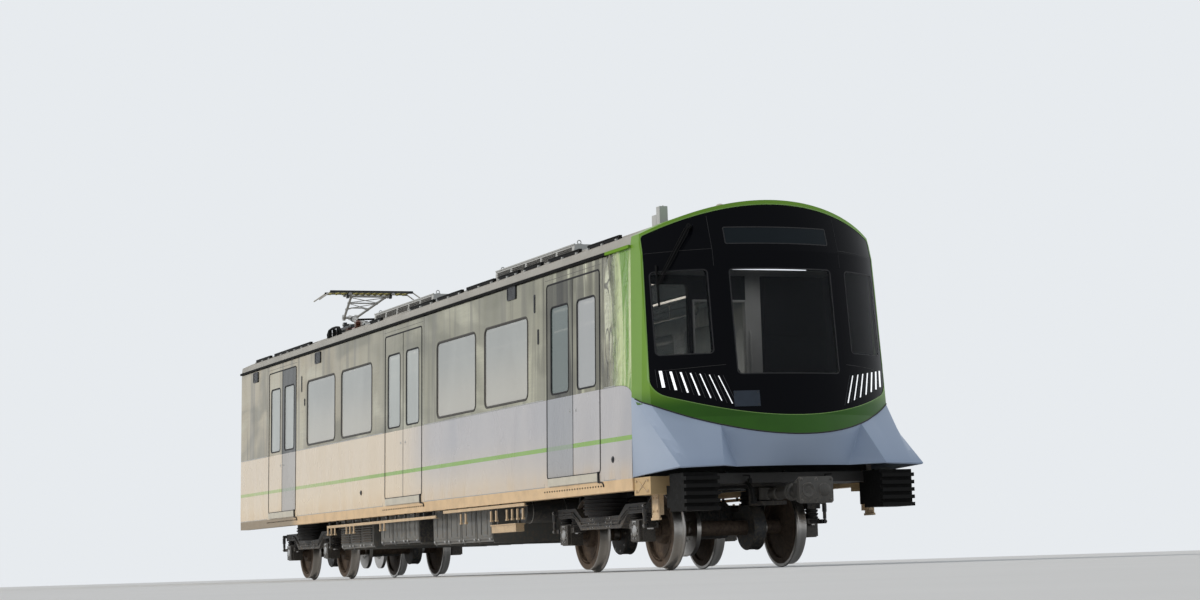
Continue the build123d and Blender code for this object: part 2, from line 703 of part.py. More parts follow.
def recess_panel():
    """The bowed panel between the cheeks, from the shell's edge down and back to the coupler."""
    top, low = [], []
    for index in range(RECESS_STRIPS + 1):
        share = 2 * index / RECESS_STRIPS - 1
        low_x = NOSE_X - RECESS_SETBACK + RECESS_BULGE * (1 - share ** 2)
        top.append(skirt_top(share * (RECESS_TOP_Y + RECESS_LAP)))
        low.append((low_x, share * (RECESS_LOW_Y + RECESS_LAP), SKIRT_CORNER_Z))

    def behind(point):
        return (point[0] - RECESS_THICKNESS, point[1], point[2])

    faces = [
        [top[0], low[0], behind(low[0]), behind(top[0])],
        [top[-1], low[-1], behind(low[-1]), behind(top[-1])],
    ]
    for index in range(RECESS_STRIPS):
        a, b, c, d = top[index], top[index + 1], low[index + 1], low[index]
        faces += [[a, b, c], [a, c, d]]
        faces += [[behind(a), behind(b), behind(c)], [behind(a), behind(c), behind(d)]]
        faces += [[a, b, behind(b), behind(a)], [d, c, behind(c), behind(d)]]
    return polyhedron(faces)


left_cheek = cheek()
save("front_skirt", [fuse([left_cheek, recess_panel(), left(left_cheek)])])


# Underframe and floor

HEADSTOCK_BOTTOM_Z = FLOOR_BOTTOM_Z - HEADSTOCK_DEPTH
BUFFER_FRONT_X = NOSE_X + BUFFER_REACH
BUFFER_REAR_X = BUFFER_FRONT_X - BUFFER_LENGTH
INNER_SILL_Y = HALF_WIDTH - SILL_WIDTH
CROSS_MEMBER_COUNT = 13
CROSS_MEMBERS_X = [
    BODY_REAR_X + index * (BODY_LENGTH - CROSS_MEMBER_WIDTH) / (CROSS_MEMBER_COUNT - 1)
    for index in range(CROSS_MEMBER_COUNT)
]


def underframe():
    """Sole bars, cross members, a centre sill and the two bolsters with their pivots."""
    members = both(box(BODY_REAR_X, BODY_FRONT_X, -HALF_WIDTH, -INNER_SILL_Y, SILL_BOTTOM_Z, SILL_TOP_Z))
    for x in CROSS_MEMBERS_X:
        members.append(box(
            x, x + CROSS_MEMBER_WIDTH, -INNER_SILL_Y, INNER_SILL_Y, CROSS_MEMBER_BOTTOM_Z, FLOOR_BOTTOM_Z
        ))
    for x in BOGIE_CENTRES_X.values():
        members.append(box(
            x - BOLSTER_LENGTH / 2, x + BOLSTER_LENGTH / 2, -INNER_SILL_Y, INNER_SILL_Y,
            BOLSTER_BOTTOM_Z, FLOOR_BOTTOM_Z,
        ))
        members.append(upright_rod(x, 0, BOLSTER_BOTTOM_Z - PIVOT_LENGTH, BOLSTER_BOTTOM_Z, PIVOT_RADIUS))
    members.append(box(
        BODY_REAR_X, BODY_FRONT_X, -CENTRE_SILL_HALF_WIDTH, CENTRE_SILL_HALF_WIDTH,
        CROSS_MEMBER_BOTTOM_Z, FLOOR_BOTTOM_Z,
    ))
    return fuse(members)


def cab_underframe():
    """The corner posts and the headstock that carries the coupler and the anti-climbers."""
    outer_y = HALF_WIDTH - END_POST_INSET
    inner_y = outer_y - END_POST_WIDTH
    post = box(
        BODY_FRONT_X, BODY_FRONT_X + END_POST_LENGTH, -outer_y, -inner_y,
        SILL_TOP_Z - END_POST_HEIGHT, SILL_TOP_Z,
    )
    headstock = box(
        BODY_FRONT_X, BUFFER_REAR_X - SEAT_GAP, -inner_y, inner_y,
        HEADSTOCK_BOTTOM_Z, SKIRT_BOTTOM_Z - SEAT_GAP,
    )
    return fuse(both(post) + [headstock])


def anti_climber():
    """A ribbed block under the right cheek, on the headstock's face."""
    outer_y, inner_y = -(HALF_WIDTH - BUFFER_INSET), -CHEEK_INNER_Y
    top_z = SKIRT_BOTTOM_Z - SEAT_GAP
    low_z = top_z - BUFFER_HEIGHT
    rib_x = BUFFER_FRONT_X - BUFFER_RIB_DEPTH
    pitch = BUFFER_HEIGHT / BUFFER_RIBS
    shapes = [box(BUFFER_REAR_X, rib_x, outer_y, inner_y, low_z, top_z)]
    for index in range(BUFFER_RIBS):
        z = low_z + index * pitch
        shapes.append(box(rib_x, BUFFER_FRONT_X, outer_y, inner_y, z, z + pitch / 2))
    return fuse(shapes)


floor_y = HALF_WIDTH - WALL_THICKNESS - FLOOR_SIDE_GAP
save("underframe", [underframe()])
save("cab_underframe", [cab_underframe()])
save_pairs("anti_climbers", [anti_climber()])
save("floor_panel", [box(BODY_REAR_X, BODY_FRONT_X, -floor_y, floor_y, FLOOR_BOTTOM_Z, FLOOR_TOP_Z)])


# Rear end

GANGWAY_TOP_Z = FLOOR_TOP_Z + GANGWAY_HEIGHT


def cross_wall(x_low, x_high, z_high):
    """A wall across the inside of the body, from the floor to a height."""
    low_y = wall_y(FLOOR_TOP_Z) - WALL_THICKNESS
    high_y = wall_y(z_high) - WALL_THICKNESS
    outline = [(-low_y, FLOOR_TOP_Z), (-high_y, z_high), (high_y, z_high), (low_y, FLOOR_TOP_Z)]
    return prism_x(outline, x_low, x_high)


def end_wall():
    """The rear wall, up into the roof's arch, with the gangway cut through it."""
    x_low, x_high = BODY_REAR_X, BODY_REAR_X + END_WALL_THICKNESS
    wall = cross_wall(x_low, x_high, CANTRAIL_Z) + roof_solid(ROOF_THICKNESS, x_low, x_high)
    return wall - box(x_low, x_high, -GANGWAY_WIDTH / 2, GANGWAY_WIDTH / 2, FLOOR_TOP_Z, GANGWAY_TOP_Z)


def bellows():
    """The folded gangway frame: a plain sleeve with standing folds."""
    half = GANGWAY_WIDTH / 2
    rear_x = BODY_REAR_X - BELLOWS_LENGTH
    pitch = BELLOWS_LENGTH / BELLOWS_FOLDS

    def ring(x_low, x_high, wall):
        return box(x_low, x_high, -half - wall, half + wall, FLOOR_TOP_Z - wall, GANGWAY_TOP_Z + wall)

    shapes = [ring(rear_x, BODY_REAR_X, BELLOWS_WALL / 2)]
    for index in range(BELLOWS_FOLDS):
        x = rear_x + index * pitch
        shapes.append(ring(x, x + pitch / 2, BELLOWS_WALL))
    return fuse(shapes) - ring(rear_x, BODY_REAR_X, 0)


save("rear_end_wall", [end_wall()])
save("gangway_bellows", [bellows()])


# Interior that shows through the glass

BULKHEAD_X = DOOR_CENTRES_X[0] + DOOR_WIDTH / 2 + BULKHEAD_GAP


def bulkhead():
    """The wall behind the driver, with a doorway."""
    x_high = BULKHEAD_X + BULKHEAD_THICKNESS
    half = BULKHEAD_DOOR_WIDTH / 2
    doorway = box(BULKHEAD_X, x_high, -half, half, FLOOR_TOP_Z, FLOOR_TOP_Z + BULKHEAD_DOOR_HEIGHT)
    return cross_wall(BULKHEAD_X, x_high, CEILING_Z) - doorway


def bench(front_door, rear_door):
    """A long seat under the windows between two doorways, along the right wall."""
    wall = -(wall_y(WINDOW_BOTTOM_Z) - WALL_THICKNESS)
    back_y = wall + BENCH_WALL_GAP
    low_x = rear_door + DOOR_WIDTH / 2 + BENCH_END_GAP
    high_x = front_door - DOOR_WIDTH / 2 - BENCH_END_GAP
    seat_z = FLOOR_TOP_Z + BENCH_HEIGHT
    cushion_z = seat_z - BENCH_CUSHION
    return fuse([
        box(low_x, high_x, back_y, wall + BENCH_BASE_DEPTH, FLOOR_TOP_Z, cushion_z),
        box(low_x, high_x, back_y, wall + BENCH_DEPTH, cushion_z, seat_z),
        box(low_x, high_x, back_y, back_y + BENCH_BACK_THICKNESS, seat_z, seat_z + BENCH_BACK_HEIGHT),
    ])


def grab_poles():
    """Poles beside each doorway, from floor to ceiling, on the right side."""
    y = -(HALF_WIDTH - POLE_INSET)
    reach = DOOR_WIDTH / 2 + POLE_DOOR_GAP
    places = [x + side * reach for x in DOOR_CENTRES_X for side in (-1, 1)]
    return [upright_rod(x, y, FLOOR_TOP_Z, CEILING_Z, POLE_RADIUS) for x in places if x < BULKHEAD_X]


def ceiling():
    half = wall_y(CEILING_Z + CEILING_THICKNESS) - WALL_THICKNESS - SEAT_GAP
    return box(
        BODY_REAR_X + END_WALL_THICKNESS, BODY_FRONT_X - CEILING_FRONT_GAP, -half, half,
        CEILING_Z, CEILING_Z + CEILING_THICKNESS,
    )


def driver_desk():
    """A full-width console that fills the foot of the cab shell."""
    rear_x = BODY_FRONT_X + DESK_GAP
    front_x = rear_x + DESK_LENGTH
    top_z = FLOOR_TOP_Z + DESK_HEIGHT
    slope_x, slope_z = DESK_FRONT_SLOPE
    half = HALF_WIDTH - DESK_SIDE_INSET
    outline = [
        (rear_x, FLOOR_TOP_Z), (front_x, FLOOR_TOP_Z), (front_x, top_z - slope_z),
        (front_x - slope_x, top_z), (rear_x, top_z - DESK_REAR_DROP),
    ]
    room = Solid.extrude(shell_section(SHELL_WALL + SEAT_GAP), CAB_REACH)
    return prism_y(outline, -half, half) & room & cab_volume(SHELL_FACE + SEAT_GAP)


def driver_seat():
    post_x = BODY_FRONT_X - DRIVER_SEAT_GAP
    shapes = []
    for x_low, x_high, half_width, z_low, z_high in (
        # from the seat's post along X, half width, heights above the floor
        (-75.0, 75.0, 75.0, 0.0, 430.0),
        (-225.0, 275.0, 240.0, 430.0, 530.0),
        (-255.0, -155.0, 230.0, 530.0, 1220.0),
    ):
        shapes.append(box(
            post_x + x_low, post_x + x_high, -half_width, half_width,
            FLOOR_TOP_Z + z_low, FLOOR_TOP_Z + z_high,
        ))
    return fuse(shapes)


save("cab_bulkhead", [bulkhead()])
save_pairs("saloon_seats", [bench(front_door, rear_door) for front_door, rear_door in DOOR_BAYS])
save_pairs("grab_poles", grab_poles())
save("ceiling_lining", [ceiling()])
save("driver_desk", [driver_desk()])
save("driver_seat", [driver_seat()])


# Roof equipment, cut to the roof's arch underneath

def air_conditioner(x):
    top_z = ROOF_CROWN_Z + AC_RISE
    outline = [
        (-AC_HALF_WIDTH, CANTRAIL_Z), (AC_HALF_WIDTH, CANTRAIL_Z),
        (AC_HALF_WIDTH - AC_SLOPE, top_z), (-AC_HALF_WIDTH + AC_SLOPE, top_z),
    ]
    return prism_x(outline, x - AC_LENGTH / 2, x + AC_LENGTH / 2) - full_roof


ROOF_BOXES = [
    # low x and high x from the body's front, low y, high y, rise above the crown
    (-390.0, -80.0, -1040.0, -910.0, 55.0),
    (-870.0, -470.0, -160.0, 160.0, 95.0),
]
save("air_conditioners", [
    air_conditioner((front_door + rear_door) / 2 + offset)
    for (front_door, rear_door), offset in zip(DOOR_BAYS, AC_OFFSETS)
])
save("antenna_boxes", [
    box(
        BODY_FRONT_X + x_low, BODY_FRONT_X + x_high, y_low, y_high, CANTRAIL_Z, ROOF_CROWN_Z + rise
    ) - full_roof
    for x_low, x_high, y_low, y_high, rise in ROOF_BOXES
])


# Pantograph, in its low running position

PANTO_X = BOGIE_CENTRES_X["rear"] + PANTO_OFFSET
PANTO_PIVOT_Z = ROOF_CROWN_Z + PANTO_RISE
BASE_RAIL_Y = 420.0
BASE_FRONT = 420.0
BASE_REAR = 560.0
BASE_END_GAP = 80.0
BASE_RAIL_HALF_WIDTH = 25.0
BASE_RAIL_HEIGHT = 40.0
BASE_RAIL_DROP = 75.0
LUG_HALF_LENGTH = 40.0
INSULATOR_RADIUS = 55.0
HUB_RADIUS = 55.0
HUB_HALF_WIDTH = 90.0
LOWER_TUBE_RADIUS = 42.0
KNEE_PIN_HALF_LENGTH = 130.0
UPPER_HUB_RADIUS = 50.0
UPPER_HUB_Y = 105.0
UPPER_HUB_HALF_WIDTH = 20.0
UPPER_TUBE_RADIUS = 20.0
UPPER_SPREAD_Y = 300.0
APEX_PIN_HALF_LENGTH = 390.0
STRIP_LIFT = 60.0
STRIP_HALF_WIDTH = 18.0
STRIP_TOP = 12.0
STRIP_BOTTOM = 22.0
HORN_RADIUS = 11.0
HORN_LENGTH = 190.0
HORN_DROP = 142.0
HANGER_Y = 365.0
HANGER_HALF_WIDTH = 15.0


def arm_point(distance):
    """A point on the lower arm's line, from the pivot up to the rear."""
    turn = math.radians(PANTO_REST_ANGLE)
    return (PANTO_X - distance * math.cos(turn), 0.0, PANTO_PIVOT_Z + distance * math.sin(turn))


KNEE = arm_point(PANTO_ARM_LENGTH)
APEX_Z = PANTO_PIVOT_Z + 2 * (KNEE[2] - PANTO_PIVOT_Z)


def panto_base():
    """Base rails, cross rails, four insulators and the two lugs that hold the main pivot pin."""
    rail_low_z = PANTO_PIVOT_Z - BASE_RAIL_DROP
    rail_high_z = rail_low_z + BASE_RAIL_HEIGHT
    front_x, rear_x = PANTO_X + BASE_FRONT, PANTO_X - BASE_REAR
    foot_places = (front_x - BASE_END_GAP, rear_x + BASE_END_GAP)
    half = BASE_RAIL_HALF_WIDTH
    shapes = [
        box(x - half, x + half, -BASE_RAIL_Y, BASE_RAIL_Y, rail_low_z, rail_high_z) for x in foot_places
    ]
    shapes.append(cross_rod(PANTO_X, -BASE_RAIL_Y, BASE_RAIL_Y, PANTO_PIVOT_Z, PIN_RADIUS))
    for y in (-BASE_RAIL_Y, BASE_RAIL_Y):
        shapes.append(box(rear_x, front_x, y - half, y + half, rail_low_z, rail_high_z))
        shapes.append(box(
            PANTO_X - LUG_HALF_LENGTH, PANTO_X + LUG_HALF_LENGTH, y - half, y + half,
            rail_low_z, PANTO_PIVOT_Z + LUG_HALF_LENGTH,
        ))
        for x in foot_places:
            shapes.append(upright_rod(x, y, CANTRAIL_Z, rail_low_z + half / 2, INSULATOR_RADIUS) - full_roof)
    return fuse(shapes)


def lower_arm():
    """One thick tube from the main pivot to the knee, with the knee's pin."""
    hub = cross_rod(PANTO_X, -HUB_HALF_WIDTH, HUB_HALF_WIDTH, PANTO_PIVOT_Z, HUB_RADIUS)
    bore = cross_rod(PANTO_X, -HUB_HALF_WIDTH, HUB_HALF_WIDTH, PANTO_PIVOT_Z, PIN_RADIUS + PIN_FIT)
    tube = rod(arm_point(HUB_RADIUS - SEAT_GAP), KNEE, LOWER_TUBE_RADIUS)
    knee_pin = cross_rod(KNEE[0], -KNEE_PIN_HALF_LENGTH, KNEE_PIN_HALF_LENGTH, KNEE[2], PIN_RADIUS)
    return fuse([hub, tube, knee_pin]) - bore


def upper_arm():
    """Two thin tubes that spread from the knee to the apex shaft, which carries the head."""
    shapes = [cross_rod(PANTO_X, -APEX_PIN_HALF_LENGTH, APEX_PIN_HALF_LENGTH, APEX_Z, PIN_RADIUS)]
    for side in (-1, 1):
        hub_y = side * UPPER_HUB_Y
        shapes.append(cross_rod(
            KNEE[0], hub_y - UPPER_HUB_HALF_WIDTH, hub_y + UPPER_HUB_HALF_WIDTH, KNEE[2], UPPER_HUB_RADIUS
        ))
        start = (KNEE[0] + UPPER_HUB_RADIUS / 2, hub_y, KNEE[2])
        shapes.append(rod(start, (PANTO_X, side * UPPER_SPREAD_Y, APEX_Z), UPPER_TUBE_RADIUS))
    bore = cross_rod(
        KNEE[0], -KNEE_PIN_HALF_LENGTH, KNEE_PIN_HALF_LENGTH, KNEE[2], PIN_RADIUS + PIN_FIT
    )
    return fuse(shapes) - bore


def panto_head():
    """Two contact strips on carriers, with horns that turn down at both ends."""
    strip_z = APEX_Z + STRIP_LIFT
    half = PANTO_HEAD_SPACING / 2
    shapes = []
    for x in (PANTO_X - half, PANTO_X + half):
        shapes.append(box(
            x - STRIP_HALF_WIDTH, x + STRIP_HALF_WIDTH, -PANTO_HEAD_HALF_WIDTH, PANTO_HEAD_HALF_WIDTH,
            strip_z - STRIP_BOTTOM, strip_z + STRIP_TOP,
        ))
        for side in (-1, 1):
            start = (x, side * (PANTO_HEAD_HALF_WIDTH - HORN_RADIUS), strip_z - HORN_RADIUS / 2)
            end = (x, side * (PANTO_HEAD_HALF_WIDTH + HORN_LENGTH), strip_z - HORN_DROP)
            shapes.append(rod(start, end, HORN_RADIUS))
    carrier_low_z = strip_z - 2 * STRIP_BOTTOM
    plate_half = PIN_RADIUS + HANGER_HALF_WIDTH
    for side in (-1, 1):
        y_low, y_high = side * HANGER_Y - HANGER_HALF_WIDTH, side * HANGER_Y + HANGER_HALF_WIDTH
        shapes.append(box(
            PANTO_X - half, PANTO_X + half, y_low, y_high, carrier_low_z, strip_z - STRIP_BOTTOM / 2
        ))
        plate = box(
            PANTO_X - plate_half, PANTO_X + plate_half, y_low, y_high,
            APEX_Z - plate_half, strip_z - STRIP_BOTTOM,
        )
        shapes.append(plate - cross_rod(PANTO_X, y_low, y_high, APEX_Z, PIN_RADIUS + PIN_FIT))
    return fuse(shapes) - cross_rod(PANTO_X, -FULL_CUT, FULL_CUT, APEX_Z, PIN_RADIUS + PIN_FIT)


save("pantograph_base", [panto_base()])
save("pantograph_lower_arm", [lower_arm()])
save("pantograph_upper_arm", [upper_arm()])
save("pantograph_head", [panto_head()])


# Windscreen wiper

def wiper():
    """One arm with its blade, parked beside the right-hand pane of the mask."""
    foot, out = wiper_axis()
    outward = Vector(out.Y, -out.X, 0).normalized()
    down = out.cross(outward).normalized()

    def hanging(angle):
        """A direction in the wiper's plane, tilted outward from straight down."""
        turn = math.radians(angle)
        return down * math.cos(turn) + outward * math.sin(turn)

    hub_low, hub_high = foot + out * WIPER_HUB_LOW, foot + out * WIPER_HUB_HIGH
    arm_start = foot + out * WIPER_ARM_LIFT
    arm_end = arm_start + hanging(WIPER_ARM_TILT) * WIPER_ARM_LENGTH
    blade_middle = arm_end - out * (WIPER_ARM_LIFT - WIPER_BLADE_LIFT)
    half_blade = hanging(WIPER_BLADE_TILT) * (WIPER_BLADE_LENGTH / 2)
    return fuse([
        rod(hub_low, hub_high, WIPER_HUB_RADIUS),
        rod(arm_start, arm_end, WIPER_ARM_RADIUS),
        rod(blade_middle - half_blade, blade_middle + half_blade, WIPER_BLADE_RADIUS),
        rod(arm_end, blade_middle, WIPER_BLADE_RADIUS),
    ]) - rod(hub_low, hub_high, SPINDLE_RADIUS + PIN_FIT)


save("windscreen_wiper", [wiper()])


# Coupler, drawbar and the forks that carry them

COUPLER_Z = 800.0
COUPLER_PIVOT_X = BODY_FRONT_X + 330.0
COUPLER_FACE_X = NOSE_X + COUPLER_REACH
DRAWBAR_PIVOT_X = BODY_REAR_X + 380.0
DRAWBAR_END_X = BODY_REAR_X - DRAWBAR_REACH
EYE_RADIUS = 110.0
EYE_HALF_HEIGHT = 70.0
DRAW_PIN_RADIUS = 40.0
COUPLER_SHANK_RADIUS = 70.0
COUPLER_HEAD_LENGTH = 300.0
COUPLER_HEAD_HALF_WIDTH = 200.0
COUPLER_HEAD_HALF_HEIGHT = 140.0
DRAWBAR_SHANK_RADIUS = 65.0
DRAWBAR_FLANGE_RADIUS = 150.0
DRAWBAR_FLANGE_LENGTH = 60.0
FORK_HALF_LENGTH = 130.0
FORK_HALF_WIDTH = 150.0
FORK_GAP = 10.0
FORK_PLATE = 40.0
FORK_WEB = 70.0


def draw_eye(x):
    """The eye of a coupler or drawbar, and the bore through it."""
    eye = upright_rod(x, 0, COUPLER_Z - EYE_HALF_HEIGHT, COUPLER_Z + EYE_HALF_HEIGHT, EYE_RADIUS)
    bore = upright_rod(
        x, 0, COUPLER_Z - EYE_HALF_HEIGHT, COUPLER_Z + EYE_HALF_HEIGHT, DRAW_PIN_RADIUS + JOURNAL_FIT
    )
    return eye, bore


def coupler():
    eye, bore = draw_eye(COUPLER_PIVOT_X)
    head_rear_x = COUPLER_FACE_X - COUPLER_HEAD_LENGTH
    shank = rod((COUPLER_PIVOT_X, 0, COUPLER_Z), (head_rear_x, 0, COUPLER_Z), COUPLER_SHANK_RADIUS - SEAT_GAP)
    head = box(
        head_rear_x, COUPLER_FACE_X, -COUPLER_HEAD_HALF_WIDTH, COUPLER_HEAD_HALF_WIDTH,
        COUPLER_Z - COUPLER_HEAD_HALF_HEIGHT, COUPLER_Z + COUPLER_HEAD_HALF_HEIGHT,
    )
    return fuse([shank, head, eye]) - bore


def drawbar():
    eye, bore = draw_eye(DRAWBAR_PIVOT_X)
    flange_x = DRAWBAR_END_X + DRAWBAR_FLANGE_LENGTH
    shank = rod((DRAWBAR_PIVOT_X, 0, COUPLER_Z), (flange_x, 0, COUPLER_Z), DRAWBAR_SHANK_RADIUS)
    flange = rod((DRAWBAR_END_X, 0, COUPLER_Z), (flange_x, 0, COUPLER_Z), DRAWBAR_FLANGE_RADIUS)
    return fuse([shank, flange, eye]) - bore


def draw_pocket(x, inward, top_z):
    """The fork under the body with a coupler's upright pin; its web is on the inward side."""
    plate_z = EYE_HALF_HEIGHT + FORK_GAP
    low_z = COUPLER_Z - plate_z - FORK_PLATE
    web_x = x + inward * FORK_HALF_LENGTH
    far_x = web_x + inward * FORK_WEB
    half = FORK_HALF_WIDTH
    return fuse([
        box(x - FORK_HALF_LENGTH, x + FORK_HALF_LENGTH, -half, half, COUPLER_Z + plate_z, top_z),
        box(x - FORK_HALF_LENGTH, x + FORK_HALF_LENGTH, -half, half, low_z, COUPLER_Z - plate_z),
        box(min(web_x, far_x), max(web_x, far_x), -half, half, low_z, top_z),
        upright_rod(x, 0, low_z + FORK_PLATE / 2, COUPLER_Z + plate_z + FORK_PLATE / 2, DRAW_PIN_RADIUS),
    ])


save("coupler_front", [coupler()])
save("drawbar_rear", [drawbar()])
save("draw_gear_pockets", [
    draw_pocket(COUPLER_PIVOT_X, -1, HEADSTOCK_BOTTOM_Z - SEAT_GAP),
    draw_pocket(DRAWBAR_PIVOT_X, 1, CROSS_MEMBER_BOTTOM_Z - SEAT_GAP),
])


# Underfloor equipment: two tanks behind the front bogie, then three cases spread back to the rear bogie

TANK_RADIUS = 150.0
TANK_INNER_Y = 90.0
TANK_OUTER_Y = 1120.0
TANK_DROP = 200.0
TANK_MEMBER = 9
STRAP_PLACES_Y = (300.0, 910.0)
STRAP_HALF_WIDTH = 30.0
WHEEL_SWING_GAP = 100.0
CASE_SIDE_GAP = 80.0
CASES = [
    # name, length, side gap to the sole bars, low z
    ("traction_inverter", 2400.0, CASE_SIDE_GAP, 430.0),
    ("battery_case", 1800.0, CASE_SIDE_GAP, 480.0),
    ("brake_resistor", 1700.0, 2 * CASE_SIDE_GAP, 460.0),
]


def air_tank():
    """The right-hand compressed-air tank, on two straps under a cross member."""
    x = CROSS_MEMBERS_X[TANK_MEMBER] + CROSS_MEMBER_WIDTH / 2
    z = CROSS_MEMBER_BOTTOM_Z - TANK_DROP
    shapes = [cross_rod(x, -TANK_OUTER_Y, -TANK_INNER_Y, z, TANK_RADIUS)]
    for y in STRAP_PLACES_Y:
        shapes.append(box(
            x - CROSS_MEMBER_WIDTH / 2, x + CROSS_MEMBER_WIDTH / 2, -y - STRAP_HALF_WIDTH,
            -y + STRAP_HALF_WIDTH, z, CROSS_MEMBER_BOTTOM_Z - SEAT_GAP,
        ))
    return fuse(shapes)


save_pairs("air_tanks", [air_tank()])

case_high_x = CROSS_MEMBERS_X[TANK_MEMBER] + CROSS_MEMBER_WIDTH / 2 - TANK_RADIUS
case_low_x = BOGIE_CENTRES_X["rear"] + WHEELBASE / 2 + TREAD_RADIUS + WHEEL_SWING_GAP
case_gap = (case_high_x - case_low_x - sum(length for name, length, gap, z in CASES)) / (len(CASES) + 1)
front_x = case_high_x
for name, length, side_gap, z_low in CASES:
    front_x -= case_gap
    half = INNER_SILL_Y - side_gap
    save(name, [box(front_x - length, front_x, -half, half, z_low, CROSS_MEMBER_BOTTOM_Z - SEAT_GAP)])
    front_x -= length


# Bogies

FLANGE_RADIUS = TREAD_RADIUS + FLANGE_HEIGHT
AXLE_Z = FLANGE_RADIUS
WHEEL_OUTER_Y = WHEEL_INNER_Y + WHEEL_WIDTH
BEAM_LOW_Z = AXLE_Z + SIDE_BEAM_LIFT
BEAM_DIP_Z = BEAM_LOW_Z - SIDE_BEAM_DROP
SPRING_SEAT_Z = BEAM_DIP_Z + SIDE_BEAM_DEPTH + 30.0
MOTOR_Z = AXLE_Z + MOTOR_LIFT
TRANSOM_Z = MOTOR_Z + 10.0
TRANSOM_OFFSET = WHEELBASE / 2 - GEAR_REACH - MOTOR_RADIUS - MOTOR_GAP - TRANSOM_RADIUS
PIVOT_CLEARANCE = 10.0
BOX_HALF_LENGTH = 150.0
BOX_HALF_WIDTH = 75.0
BOX_DROP = 130.0
BOX_RISE = 120.0
WING_HALF_LENGTH = 240.0
WING_LOW = 20.0
WING_HIGH = 80.0
PRIMARY_SPRING_OFFSET = 190.0
PRIMARY_SPRING_RADIUS = 60.0
COVER_INSET = 30.0
COVER_DEPTH = 35.0


def wheel(side):
    """One wheel as a solid of revolution about the axle: rim, flange, web and hub."""
    inner, outer = WHEEL_INNER_Y, WHEEL_OUTER_Y
    bore = AXLE_RADIUS - 5
    rim = FLANGE_RADIUS - RIM_DEPTH - FLANGE_HEIGHT
    web = rim - 10
    points = [
        # radius, place along the axle
        (bore, inner - 15), (web, inner + 30), (rim, inner),
        (FLANGE_RADIUS - 8, inner), (FLANGE_RADIUS, inner + 8), (FLANGE_RADIUS, inner + FLANGE_WIDTH - 14),
        (TREAD_RADIUS + 3, inner + FLANGE_WIDTH), (TREAD_RADIUS, inner + FLANGE_WIDTH + 12),
        (TREAD_RADIUS - 4, outer), (rim, outer), (web, outer - 55),
        (AXLE_RADIUS + 75, outer - 70), (AXLE_RADIUS + 60, outer + 10), (bore, outer + 10),
    ]
    face = Face(Wire.make_polygon([(0, side * y, radius) for radius, y in points], close=True))
    return Solid.revolve(face, 360, Axis.Y)


def wheelset(x, gear_side):
    """An axle with two wheels, stub journals and a brake disc on the side away from the gearbox."""
    body_y = WHEEL_OUTER_Y + 30
    disc_y = -gear_side * DISC_Y
    parts = [
        cross_rod(0, -body_y, body_y, 0, AXLE_RADIUS),
        cross_rod(0, disc_y - DISC_THICKNESS / 2, disc_y + DISC_THICKNESS / 2, 0, DISC_RADIUS),
        cross_rod(0, -AXLE_HALF_LENGTH, AXLE_HALF_LENGTH, 0, JOURNAL_RADIUS),
        wheel(-1),
        wheel(1),
    ]
    return Pos(x, 0, AXLE_Z) * fuse(parts)


def side_beam(x, side):
    """A side beam: high over the axle boxes, low under the air spring."""
    half = WHEELBASE / 2
    high_z = BEAM_LOW_Z + SIDE_BEAM_DEPTH
    right_half = [
        # along X from the bogie's middle, height
        (half - 480, BEAM_DIP_Z), (half - 270, BEAM_LOW_Z), (half + 260, BEAM_LOW_Z),
        (half + 260, high_z), (half - 320, high_z), (half - 520, SPRING_SEAT_Z),
    ]
    outline = right_half + [(-along, z) for along, z in reversed(right_half)]
    y = side * SIDE_BEAM_Y
    return Pos(x, 0, 0) * prism_y(outline, y - SIDE_BEAM_WIDTH / 2, y + SIDE_BEAM_WIDTH / 2)


def bogie_frame(x):
    """Two side beams, two transom tubes and the block that takes the body's pivot."""
    shapes = [side_beam(x, -1), side_beam(x, 1)]
    for offset in (-TRANSOM_OFFSET, TRANSOM_OFFSET):
        shapes.append(cross_rod(x + offset, -SIDE_BEAM_Y, SIDE_BEAM_Y, TRANSOM_Z, TRANSOM_RADIUS))
    low_z, high_z = TRANSOM_Z - 60.0, TRANSOM_Z + 60.0
    block = box(x - TRANSOM_OFFSET, x + TRANSOM_OFFSET, -170, 170, low_z, high_z)
    return fuse(shapes + [block]) - upright_rod(x, 0, low_z, high_z, PIVOT_RADIUS + PIVOT_CLEARANCE)


def axle_box(x, side):
    """A closed box round the journal, with wings for two primary springs up to the side beam."""
    y = side * SIDE_BEAM_Y
    cover_y = y + side * BOX_HALF_WIDTH
    cover_half = BOX_HALF_LENGTH - COVER_INSET
    y_low, y_high = y - BOX_HALF_WIDTH, y + BOX_HALF_WIDTH
    shapes = [
        box(x - BOX_HALF_LENGTH, x + BOX_HALF_LENGTH, y_low, y_high, AXLE_Z - BOX_DROP, AXLE_Z + BOX_RISE),
        box(x - WING_HALF_LENGTH, x + WING_HALF_LENGTH, y_low, y_high, AXLE_Z + WING_LOW, AXLE_Z + WING_HIGH),
        box(
            x - cover_half, x + cover_half, cover_y - COVER_DEPTH, cover_y + COVER_DEPTH,
            AXLE_Z - cover_half, AXLE_Z + cover_half - 10,
        ),
    ]
    for offset in (-PRIMARY_SPRING_OFFSET, PRIMARY_SPRING_OFFSET):
        shapes.append(upright_rod(
            x + offset, y, AXLE_Z + WING_LOW, BEAM_LOW_Z - SEAT_GAP, PRIMARY_SPRING_RADIUS
        ))
    bore = rod(
        (x, y - side * BOX_HALF_WIDTH, AXLE_Z), (x, side * (AXLE_HALF_LENGTH + 2), AXLE_Z),
        JOURNAL_RADIUS + JOURNAL_FIT,
    )
    return fuse(shapes) - bore


